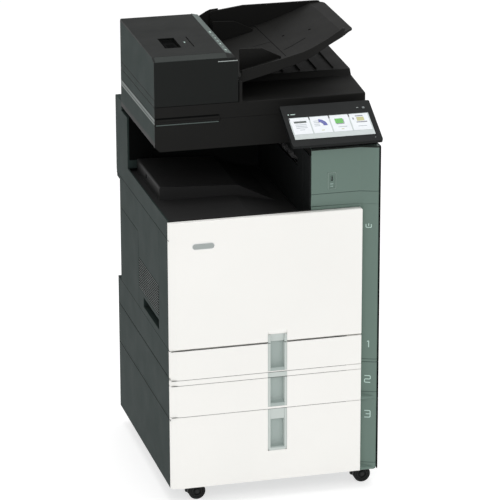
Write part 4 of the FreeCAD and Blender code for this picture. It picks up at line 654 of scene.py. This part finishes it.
def add_panel_piece(name, outlines, material, low=0.05, high=0.30):
    mesh = bmesh.new()
    for outline in outlines:
        panel_slab(mesh, outline, low, high)
    finish_piece(mesh, name, "panel", material)


TILE_LEFT = 61.5
TILE_STEP = 57.6
TILE_WIDTH = 53.6
TILE_ALONG = (46.5, 111.5)
TILE_TOP = 0.42                   # top of a tile off the panel's face
ART_TOP = 0.52


def tile_box(index, left, low, right, high, radius=0.0):
    """Rectangle inside a tile, with sides given as shares of the tile."""
    x = TILE_LEFT + index * TILE_STEP
    height = TILE_ALONG[1] - TILE_ALONG[0]
    return rounded(x + left * TILE_WIDTH, TILE_ALONG[0] + low * height,
                   x + right * TILE_WIDTH, TILE_ALONG[0] + high * height, radius, 3)


def tile_lines(index, left, right, places):
    return [tile_box(index, left, place - 0.018, right, place + 0.018) for place in places]


def tile_arc(index, centre, radius, width, start, end, steps=14):
    """Curved band inside a tile, drawn as an outline."""
    x = TILE_LEFT + index * TILE_STEP + centre[0] * TILE_WIDTH
    z = TILE_ALONG[0] + centre[1] * (TILE_ALONG[1] - TILE_ALONG[0])
    angles = [math.radians(start + (end - start) * step / steps) for step in range(steps + 1)]
    outside = [(x + (radius + width / 2) * math.cos(angle), z + (radius + width / 2) * math.sin(angle))
               for angle in angles]
    inside = [(x + (radius - width / 2) * math.cos(angle), z + (radius - width / 2) * math.sin(angle))
              for angle in angles[::-1]]
    return outside + inside


def add_screen():
    """What the lit screen shows: a plain bar and four tiles with simple pictures, as thin raised fields."""
    left, right = SCREEN_X
    foot = SCREEN_ALONG[0]
    bar = rounded(left + 0.4, foot + 0.4, right - 0.4, foot + 19.0, 0.6, 2)
    add_panel_piece("screen_bar", [bar], SCREEN_GREY)
    tiles = [tile_box(index, 0, 0, 1, 1, 1.2) for index in range(4)]
    add_panel_piece("screen_tiles", tiles, SCREEN_WHITE, high=TILE_TOP)
    edges = [TILE_LEFT + index * TILE_STEP for index in range(4)]
    gaps = [rounded(edge - 4.0, 102.0, edge - 0.1, 113.6, 0.8, 3) for edge in edges]
    add_panel_piece("screen_gaps", gaps, SCREEN_DARK)
    art = {
        "art_dark": ([tile_box(0, 0.16, 0.68, 0.84, 0.80)], SCREEN_TEAL),
        "art_lines": (tile_lines(0, 0.20, 0.80, (0.58, 0.48, 0.38)) + tile_lines(0, 0.36, 0.64, (0.26,))
                      + tile_lines(1, 0.14, 0.44, (0.74, 0.64, 0.54, 0.44))
                      + tile_lines(2, 0.30, 0.78, (0.28,)) + tile_lines(3, 0.30, 0.78, (0.24,)),
                      SCREEN_LINE),
        "art_blue": ([tile_arc(1, (0.38, 0.46), 19.0, 12.0, 84, -4)], SCREEN_BLUE),
        "art_green": ([tile_box(2, 0.22, 0.50, 0.66, 0.80, 1.0)], SCREEN_GREEN),
        "art_shadow": ([tile_box(2, 0.26, 0.45, 0.66, 0.495), tile_box(2, 0.665, 0.47, 0.70, 0.76),
                        tile_box(3, 0.28, 0.46, 0.86, 0.52), tile_box(3, 0.30, 0.84, 0.72, 0.90),
                        tile_box(3, 0.12, 0.66, 0.20, 0.78)], SCREEN_SHADE),
        "art_yellow": ([tile_box(3, 0.34, 0.56, 0.74, 0.80, 0.6), tile_box(1, 0.44, 0.14, 0.60, 0.18),
                        tile_box(2, 0.44, 0.13, 0.58, 0.17)], SCREEN_YELLOW),
    }
    for name, (outlines, material) in art.items():
        add_panel_piece(name, outlines, material, low=TILE_TOP - 0.05, high=ART_TOP)


def add_panel_marks():
    """Ready light, key marks and the gasket around the screen."""
    lights = [disc(62.0, 127.0, 1.9, 20), rounded(68.0, 126.0, 82.0, 128.4, 1.1, 3)]
    add_panel_piece("panel_ready_light", lights, MARK, low=-0.1, high=0.35)
    keys = [rounded(263.0, 135.4, 269.0, 137.2, 0.8, 3), rounded(287.0, 12.6, 289.4, 15.0, 1.1, 3)]
    add_panel_piece("panel_key_marks", keys, GREY_MARK, low=-0.1, high=0.35)
    mesh = bmesh.new()
    outer = rounded(SCREEN_X[0] - 1.6, SCREEN_ALONG[0] - 1.6, SCREEN_X[1] + 1.6, SCREEN_ALONG[1] + 1.6, 2.4)
    inner = rounded(SCREEN_X[0] + 0.1, SCREEN_ALONG[0] + 0.1, SCREEN_X[1] - 0.1, SCREEN_ALONG[1] - 0.1, 0.8)
    sections = ((outer, -0.1), (outer, 0.5), (inner, 0.5), (inner, -0.1))
    bridge(mesh, [[on_panel(x, along, rise) for x, along in outline] for outline, rise in sections])
    finish_piece(mesh, "screen_gasket", "panel", BEZEL, bevel=0.2)


# --- Sheet feeder --------------------------------------------------------------------------

FEEDER_FRONT_Y = -171.5
LID_TOP = ((-145.5, 1286.3), (268.5, 1297.0))     # Y and Z of the lid's top from front to back
LATCH_X = (-251.0, -204.0)
LATCH_Y = (-70.0, 30.0)
LATCH_FLOOR_Z = 1279.5
SLOPE_X = (-98.0, -75.0)                           # the sloping face along the lid's right edge, with a painted highlight
SLOPE_FRONT_Y = -181.5
SLOPE_TOP_Z = 1285.0
SLOPE_RISE = 13.0 / 460.0
SLOPE_FALL = 6.0 / 23.0
LID_ARROW = (-184.0, -22.0)                        # X and Y of the arrow's head
LID_RIGHT_X = -65.0
LID_MARK_Y = (-116.0, 30.0)                        # first mark and the step to the next
LID_MARK_LENGTHS = (8.0, 3.0, 11.0, 5.0)
LID_MARK_HALF_WIDTHS = (3.0, 1.6, 2.2)
LINE_Z = (1266.4, 1268.6)                          # bright line under the lid's front edge
LINE_LEFT_X = -124.0
WING = [(-71.0, 1215.0), (-71.0, 1288.0), (-50.0, 1300.0), (-38.0, 1305.0), (-14.0, 1307.0),
        (-14.0, 1228.0)]                           # X and Z of the wing behind the input tray
WING_Y = (264.4, 268.0)
LID_EDGE_Z = 1277.05                               # where the lid's front face ends


def lid_top(y):
    (front_y, front_z), (back_y, back_z) = LID_TOP
    return front_z + (y - front_y) * (back_z - front_z) / (back_y - front_y)


def lid_slope(x, y):
    """Height of the sloping face along the lid's right edge."""
    return SLOPE_TOP_Z + SLOPE_RISE * (y - SLOPE_FRONT_Y) - SLOPE_FALL * (x - SLOPE_X[0])


def on_slope(low_x, high_x, y, low, high):
    """Outline in X and Z of a thin slab lying on the sloping face."""
    return [(low_x, lid_slope(low_x, y) + low), (high_x, lid_slope(high_x, y) + low),
            (high_x, lid_slope(high_x, y) + high), (low_x, lid_slope(low_x, y) + high)]


def add_lid_details():
    """Latch in its recess, an arrow, marks down the sloping edge and the bright line on the front."""
    x, y, z = LATCH_X, LATCH_Y, LATCH_FLOOR_Z
    # The recess floor is a painted shade sheet; the handle is the same near-black.
    add_plate("latch_recess_shade", "adf_cover", DEEP_BLACK, "black_plastic",
              rounded(x[0] + 0.4, y[0] + 0.4, x[1] - 0.4, y[1] - 0.4, 1.5, 3), "z", z - 0.1, z + 0.8)
    mesh = bmesh.new()
    prism(mesh, rounded(x[0] + 6, y[0] + 8, x[1] - 6, y[1] - 34, 4.0), "z", z + 0.6, z + 4.6)
    for index in range(5):
        y_rib = y[0] + 16 + index * 8.5
        prism(mesh, rounded(x[0] + 12, y_rib, x[1] - 12, y_rib + 2.4, 1.1, 3), "z", z + 4.2, z + 5.6)
    finish_piece(mesh, "latch_handle", "adf_cover", DEEP_BLACK, bevel=0.6)
    mesh = bmesh.new()
    tip_x, tip_y = LID_ARROW
    arrow = [(tip_x, tip_y + 6), (tip_x - 3.2, tip_y), (tip_x - 1.0, tip_y), (tip_x - 1.0, tip_y - 7),
             (tip_x + 1.0, tip_y - 7), (tip_x + 1.0, tip_y), (tip_x + 3.2, tip_y)]
    top = lid_top(tip_y)
    prism(mesh, arrow, "z", top - 0.6, top + 0.35)
    finish_piece(mesh, "lid_arrow", "adf_cover", MARK)
    mesh = bmesh.new()
    for index in range(7):
        y_mark = LID_MARK_Y[0] + index * LID_MARK_Y[1]
        length = LID_MARK_LENGTHS[index % 4]
        reach = LID_MARK_HALF_WIDTHS[index % 3]
        middle_x = SLOPE_X[0] + 11.5
        outline = on_slope(middle_x - reach, middle_x + reach, y_mark, 0.1, 0.7)
        prism(mesh, outline, "y", y_mark, y_mark + length)
    finish_piece(mesh, "lid_marks", "adf_cover", MARK)
    mesh = bmesh.new()
    line = rounded(LINE_LEFT_X, LINE_Z[0], LID_RIGHT_X - 1.5, LINE_Z[1], 1.0, 4)
    prism(mesh, line, "y", FEEDER_FRONT_Y - 0.4, FEEDER_FRONT_Y + 0.3)
    finish_piece(mesh, "lid_bright_line", "adf_cover", GREY_MARK, bevel=0.2)


HALF_WIDTH = 307.5
SIDE_X = -HALF_WIDTH
SIDE_BACK_Y = 266.0
BAND_Z = (1103.4, 1112.6)
BAND_LOW_Z = (1095.5, 1101.6)
LIFT_RIGHT_X = -117.0
LIFT_Z = (1091.6, 1115.0)
LID_LINE_Z = (1167.0, 1168.2)


def add_scanner_details():
    """Painted highlight bands on the left side under the lid, painted shade lines along the seams on the left
    side, and the painted highlight on the lip and the painted shadow line of the lifting recess.
    """
    front, back = FEEDER_FRONT_Y + 1, SIDE_BACK_Y
    bands = (
        ("cover_side_highlight", "document_cover", BAND, "black_plastic", 0.15,
         rounded(front, BAND_Z[0], back, BAND_Z[1], (0.5, 0.5, 0.5, 3.0))),
        ("scanner_side_highlight", "machine", BAND, "black_plastic", 0.15,
         rounded(front, BAND_LOW_Z[0], back, BAND_LOW_Z[1], (3.0, 0.5, 0.5, 0.5))),
        ("cover_side_shadow_line", "document_cover", DEEP_BLACK, "black_plastic", 0.10,
         rounded(front, BAND_Z[1] + 0.3, back, BAND_Z[1] + 2.2, 0.6, 2)),
        ("lid_side_shadow_line", "adf_cover", DEEP_BLACK, "feeder_grey", 0.10,
         rounded(front + 1, LID_LINE_Z[0], back - 2, LID_LINE_Z[1], 0.4, 2)),
    )
    for name, body, material, slot, proud, outline in bands:
        add_plate(name, body, material, slot,
                  outline, "x", SIDE_X - proud, SIDE_X + 0.3)
    # Painted highlight along the lip of the lifting recess.
    mesh = bmesh.new()
    lip = rounded(-HALF_WIDTH + 4, LIFT_Z[0] + 0.6, LIFT_RIGHT_X - 5, LIFT_Z[0] + 3.2, 1.0, 3)
    prism(mesh, lip, "y", FEEDER_FRONT_Y + 0.2, FEEDER_FRONT_Y + 2.4)
    finish_piece(mesh, "lift_recess_highlight", "machine", BAND, bevel=0.4)
    mesh = bmesh.new()
    shadow = rounded(-HALF_WIDTH + 3, LIFT_Z[1] - 5.5, LIFT_RIGHT_X - 3, LIFT_Z[1] - 0.8, 2.2, 4)
    prism(mesh, shadow, "y", FEEDER_FRONT_Y + 1.7, FEEDER_FRONT_Y + 2.4)
    finish_piece(mesh, "lift_recess_shadow", "document_cover", DEEP_BLACK)


# --- Input tray ----------------------------------------------------------------------------

TRAY_LINE = ((-76.0, 1206.0), (-48.0, 1213.0), (60.0, 1240.0), (130.0, 1258.0), (205.0, 1284.0),
             (262.0, 1307.0), (307.5, 1310.0))     # X and Z of the paper surface
TRAY_LINE_STEP = 12.0
TRAY_SEAMS = (((94.0, -95.0), (94.0, 253.0)), ((8.0, 228.0), (94.0, 253.0)), ((42.0, 75.0), (93.0, 67.0)))
TRAY_GROOVE = ((104.0, -38.0), (176.0, -8.0))


def tray_top(x):
    """Height of the input tray's paper surface."""
    for (low_x, low_z), (high_x, high_z) in zip(TRAY_LINE, TRAY_LINE[1:]):
        if x <= high_x:
            return low_z + (x - low_x) * (high_z - low_z) / (high_x - low_x)
    return TRAY_LINE[-1][1]


def add_tray_line(mesh, start, end, width=1.8):
    """Thin dark line on the tray's paper surface between two points, following its bends."""
    start, end = Vector(start), Vector(end)
    along = (end - start).normalized()
    side = Vector((-along.y, along.x)) * width / 2
    count = max(2, int((end - start).length / TRAY_LINE_STEP))
    rings = []
    for index in range(count + 1):
        middle = start.lerp(end, index / count)
        left, right = middle - side, middle + side
        rings.append([(point.x, point.y, tray_top(point.x) + lift)
                      for point, lift in ((left, -0.4), (right, -0.4), (right, 0.2), (left, 0.2))])
    loft(mesh, rings)


def add_tray_details():
    """Seams and a groove across the input tray."""
    mesh = bmesh.new()
    for start, end in TRAY_SEAMS:
        add_tray_line(mesh, start, end)
    finish_piece(mesh, "input_tray_seams", "input_tray", DEEP_BLACK)
    mesh = bmesh.new()
    add_tray_line(mesh, *TRAY_GROOVE, width=3.0)
    finish_piece(mesh, "input_tray_groove", "input_tray", DEEP_BLACK)


# --- Left side: louvres, seams and the platform's hole ---------------------------------------

VENT_Y = (-195.5, 60.0)
VENT_Z = (537.0, 630.0)
VENT_PITCH = 7.7
SEAM_WIDTH = 1.5
LONG_SEAMS = ((804.0, 1.6), (475.0, 1.2), (391.0, 2.6), (266.0, 2.6))    # height and width
LONG_SEAM_Y = (-329.0, 350.0)
PATCH_Y = (66.0, 307.0)                            # a smaller cover behind the louvres
PATCH_Z = (632.0, 708.0)
PLATFORM_HOLE = (68.5, 872.0)                      # Y and Z
PLATFORM_SIDE_X = (-280.35, -279.0)
FACE_FRONT_Y = -168.5
LEFT_FACES = (                                     # name, body, slot, low and high Z
    ("lid_left_face", "adf_cover", "feeder_grey", 1169.5, 1274.0),
    ("lid_left_foot", "adf_cover", "feeder_grey", 1148.5, 1166.0),
    ("cover_left_face", "document_cover", "black_plastic", 1115.5, 1145.5),
    ("scanner_left_face", "machine", "black_plastic", 1044.0, 1095.0),
)
LID_FACE_TOP = [(SIDE_BACK_Y, 1289.0), (-146.0, 1284.0)]    # the lid's own face rises to the back


def add_left_faces():
    """Thin skins in the paler side grey on the left faces of the lid, the document cover and the scanner:
    painted light, as these faces turn to the light.
    """
    for name, body, slot, low, high in LEFT_FACES:
        top = LID_FACE_TOP if name == "lid_left_face" else [(SIDE_BACK_Y, high)]
        outline = [(FACE_FRONT_Y, low), (SIDE_BACK_Y, low), *top, (FACE_FRONT_Y, high)]
        add_plate(name, body, SIDE, slot,
                  outline, "x", SIDE_X - 0.06, SIDE_X + 0.3)


def add_left_side():
    """Painted shade behind slanted louvre blades, and painted shadow lines between the covers."""
    add_plate("vent_shade", "machine", DEEP_BLACK, "side_grey",
              rounded(VENT_Y[0] + 0.5, VENT_Z[0] + 0.5, VENT_Y[1] - 0.5, VENT_Z[1] - 0.5, 3.0),
              "x", SIDE_X - 0.05, SIDE_X + 1.5)
    mesh = bmesh.new()
    for index in range(int((VENT_Z[1] - VENT_Z[0]) / VENT_PITCH)):
        z = VENT_Z[0] + 3.0 + index * VENT_PITCH
        blade = [(SIDE_X + 1.0, z), (SIDE_X - 0.3, z + 0.4), (SIDE_X - 0.3, z + 2.2), (SIDE_X + 1.0, z + 2.6)]
        prism(mesh, blade, "y", VENT_Y[0] + 3, VENT_Y[1] - 3)
    finish_piece(mesh, "vent_louvres", "machine", BAND)
    mesh = bmesh.new()
    half = SEAM_WIDTH / 2
    seams = [(LONG_SEAM_Y[0], z - width / 2, LONG_SEAM_Y[1], z + width / 2) for z, width in LONG_SEAMS]
    seams.append((PATCH_Y[0], PATCH_Z[1] - half, PATCH_Y[1], PATCH_Z[1] + half))
    seams.append((PATCH_Y[0] - half, PATCH_Z[0], PATCH_Y[0] + half, PATCH_Z[1]))
    for seam in seams:
        prism(mesh, rounded(*seam, 0.5, 2), "x", SIDE_X - 0.08, SIDE_X + 0.4)
    finish_piece(mesh, "left_seams", "machine", DEEP_BLACK)
    add_plate("platform_hole_shade", "machine", DEEP_BLACK, "black_plastic",
              disc(*PLATFORM_HOLE, 6.5), "x", *PLATFORM_SIDE_X)


# --- Column: its dark top edge and painted shade in the seam above the scoop -----------------

COLUMN_LINE = [(109.2, -315.5), (250.0, -315.5), (295.0, -331.5), (302.6, -331.5)]
COLUMN_SEAM_Z = (901.3, 902.9)
COLUMN_CAP_Z = (1030.6, 1034.3)
CAP_SIDE = (-314.8, 1015.6, -173.0, 1034.3)        # Y and Z of its corners
CAP_SIDE_X = (108.35, 109.0)


def skin_outline(path, proud):
    """Outline of a thin skin on a face seen from above, standing so far proud of it."""
    face = soften(path, 3.4)
    return [(point.x, point.y - proud) for point in face] + [(point.x, point.y + 1.0) for point in face[::-1]]


def add_column_lines():
    """Painted shade along the seam above the scoop, and the dark edge round the column's top."""
    for name, z, proud, material in (("column_seam", COLUMN_SEAM_Z, 0.12, SEAM_GREEN),
                                     ("column_top_edge", COLUMN_CAP_Z, 0.30, BLACK)):
        add_plate(name, "machine", material, "green_panel",
                  skin_outline(COLUMN_LINE, proud), "z", *z)
    add_plate("column_cap_side", "machine", BLACK, "black_plastic",
              rounded(*CAP_SIDE, 1.0, 3), "x", *CAP_SIDE_X)


def add_lid_strips():
    """Painted highlights on the lid's front slope and its sloping right edge, and the wing behind the tray.
    """
    top_y, top_z = LID_TOP[0][0] - 2.0, LID_TOP[0][1] - 0.15
    edge_y, edge_z = FEEDER_FRONT_Y + 0.6, LID_EDGE_Z
    profile = [(edge_y, edge_z), (top_y, top_z), (top_y, top_z - 1.0), (edge_y + 0.4, edge_z - 1.0)]
    add_plate("lid_front_highlight", "adf_cover", FEEDER_HIGHLIGHT, "feeder_grey",
              profile, "x", -303.0, SLOPE_X[0] + 1, bevel=0.3)
    # Painted highlight on the sloping face along the lid's right edge.
    mesh = bmesh.new()
    rings = []
    for y in (-143.0, 264.0):
        outline = on_slope(SLOPE_X[0] + 2.5, SLOPE_X[1] - 1.0, y, -0.6, 0.35)
        rings.append([(x, y, z) for x, z in outline])
    loft(mesh, rings)
    finish_piece(mesh, "lid_side_highlight", "adf_cover", BAND, bevel=0.2)
    add_plate("lid_wing", "adf_cover", BLACK, "feeder_grey",
              WING, "y", *WING_Y, bevel=0.6)


# --- Painted shade in the green strip's seams, the painted dark reflection on its edge, and painted shadows in the gaps between the fronts ---

STRIP_LINE = [(256.4, -315.75), (295.0, -331.5), (302.6, -331.5)]
STRIP_SEAMS_Z = (386.2, 395.0, 294.4, 74.2)
# Painted dark reflection along the strip's rounded right edge.
EDGE_REFLECTION_X = (303.8, 307.5)
EDGE_REFLECTION_Y = (-331.4, -330.0)
EDGE_REFLECTION_Z = ((56.0, 273.6), (275.0, 385.8), (387.0, 1033.5))
OUTPUT_BACK = (-302.5, 885.0, -236.0, 1015.0)      # X and Z of the corners, at the back of the output space
OUTPUT_BACK_Y = (192.4, 193.3)


def add_strip_lines():
    """Painted shade in the seams across the strip, a painted dark reflection along its rounded right edge,
    and a painted shade sheet behind the output space.
    """
    # Darker green skins along the seams: painted shade in the joints.
    mesh = bmesh.new()
    for z in STRIP_SEAMS_Z:
        prism(mesh, skin_outline(STRIP_LINE, 0.14), "z", z, z + 1.5)
    finish_piece(mesh, "strip_seams", "machine", SEAM_GREEN)
    mesh = bmesh.new()
    for low, high in EDGE_REFLECTION_Z:
        prism(mesh, rounded(EDGE_REFLECTION_X[0], low, EDGE_REFLECTION_X[1], high, 0.8, 3), "y", *EDGE_REFLECTION_Y)
    finish_piece(mesh, "edge_dark_reflection", "machine", DEEP_BLACK, bevel=0.2)
    # Painted shade sheet at the back of the output space.
    add_plate("output_back_shade", "machine", DEEP_BLACK, "black_plastic",
              rounded(*OUTPUT_BACK, 2.0, 3), "y", *OUTPUT_BACK_Y)


GAPS = ((474.6, -304.0, -24.0), (474.6, 36.5, 211.0), (386.1, -304.0, 211.0), (369.9, -304.0, 211.0),
        (273.9, -304.0, 211.0))                    # height and ends in X, with room for the door's grip
GAP_Y = (-330.6, -329.6)
GAP_HEIGHT = 1.2


def add_gap_shadows():
    """Dark strips in the gaps between the white fronts."""
    mesh = bmesh.new()
    for z, left, right in GAPS:
        prism(mesh, rounded(left, z - GAP_HEIGHT / 2, right, z + GAP_HEIGHT / 2, 0.3, 2), "y", *GAP_Y)
    finish_piece(mesh, "gap_shadows", "machine", SEAM_GREY)


# --- Toner caps, the back and the wheels -------------------------------------------------------

TONER_X = (-210.0, -110.0, -10.0, 90.0)
TONER_COLOURS = (("cyan", CYAN), ("magenta", MAGENTA), ("yellow", YELLOW), ("black", INLET))
UPPER_BACK_Y = 308.5
SCREW_RADIUS = 4.2
BACK_SCREWS = ((280.0, (505.0, 640.0, 770.0)), (95.0, (505.0, 770.0)))    # X of a pair, and its heights
BACK_SEAMS = ((-296.0, 735.0, 296.0, 736.4), (-1.0, 740.0, 0.4, 800.0))   # X and Z of the corners
BACK_PORTS = ((-235.0, 528.0, 17.0, 14.0), (-205.0, 528.0, 13.0, 12.0), (-235.0, 505.5, 30.0, 8.0))


def add_toner_caps():
    """Coloured cap with a grip bar on the front of each toner cartridge."""
    low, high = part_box("toner_cartridges")
    front = low[1] / MM
    middle_z = (low[2] + high[2]) / 2 / MM
    for x, (name, material) in zip(TONER_X, TONER_COLOURS):
        mesh = bmesh.new()
        outer, inner = [disc(x, middle_z, radius, 40) for radius in (34.0, 27.0)]
        frame_prism(mesh, outer, inner, "y", front - 1.6, front + 0.6)
        bar = rounded(x - 24.0, middle_z - 5.0, x + 24.0, middle_z + 5.0, 4.0)
        prism(mesh, bar, "y", front - 4.5, front + 0.4)
        finish_piece(mesh, "toner_cap_" + name, "machine", material, bevel=0.6)


def screw_head(mesh, x, z, y):
    """Flat screw head with a cross recess, facing the back."""
    prism(mesh, disc(x, z, SCREW_RADIUS, 20), "y", y - 0.4, y + 0.9)
    for reach_x, reach_z in ((2.6, 0.55), (0.55, 2.6)):
        bar = rounded(x - reach_x, z - reach_z, x + reach_x, z + reach_z, 0.3, 2)
        prism(mesh, bar, "y", y + 0.8, y + 1.15)


def add_back():
    """Screws, panel seams and connector frames on the upper back."""
    mesh = bmesh.new()
    for x, heights in BACK_SCREWS:
        for z in heights:
            screw_head(mesh, -x, z, UPPER_BACK_Y)
            screw_head(mesh, x, z, UPPER_BACK_Y)
    finish_piece(mesh, "back_screws", "machine", STEEL)
    mesh = bmesh.new()
    for seam in BACK_SEAMS:
        prism(mesh, rounded(*seam, 0.6, 2), "y", UPPER_BACK_Y - 0.4, UPPER_BACK_Y + 0.15)
    finish_piece(mesh, "back_seams", "machine", DEEP_BLACK)
    mesh = bmesh.new()
    for x, z, width, height in BACK_PORTS:
        a, b = width / 2, height / 2
        outer = rounded(x - a - 2.5, z - b - 2.5, x + a + 2.5, z + b + 2.5, 1.5, 3)
        inner = rounded(x - a, z - b, x + a, z + b, 0.6, 3)
        frame_prism(mesh, outer, inner, "y", UPPER_BACK_Y - 0.4, UPPER_BACK_Y + 1.4)
        prism(mesh, inner, "y", UPPER_BACK_Y - 0.6, UPPER_BACK_Y + 0.25)
    finish_piece(mesh, "back_ports", "machine", INLET, bevel=0.2)


def add_wheel_caps():
    """Hub disc with a raised rim on each outer side of the twin wheels."""
    for corner in CORNERS:
        low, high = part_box("caster_wheels_" + corner)
        middle_x = (low[0] + high[0]) / 2 / MM
        middle_z = (low[2] + high[2]) / 2 / MM
        mesh = bmesh.new()
        for y, way in ((low[1] / MM, -1), (high[1] / MM, 1)):
            inner, outer = sorted((y - way * 0.6, y + way * 0.8))
            ring = [disc(middle_x, middle_z, radius, 32) for radius in (15.0, 12.6)]
            frame_prism(mesh, *ring, "y", inner, outer)
            prism(mesh, disc(middle_x, middle_z, 6.0, 24), "y", inner, outer)
        finish_piece(mesh, "wheel_caps_" + corner, "wheels_" + corner, CASTER, bevel=0.3)


paint_nodes()
add_grips()
add_strip_marks()
add_badge()
add_usb_plate()
add_screen()
add_panel_marks()
add_lid_details()
add_scanner_details()
add_tray_details()
add_left_faces()
add_left_side()
add_column_lines()
add_lid_strips()
add_strip_lines()
add_gap_shadows()
add_toner_caps()
add_back()
add_wheel_caps()
add_camera()
add_studio()
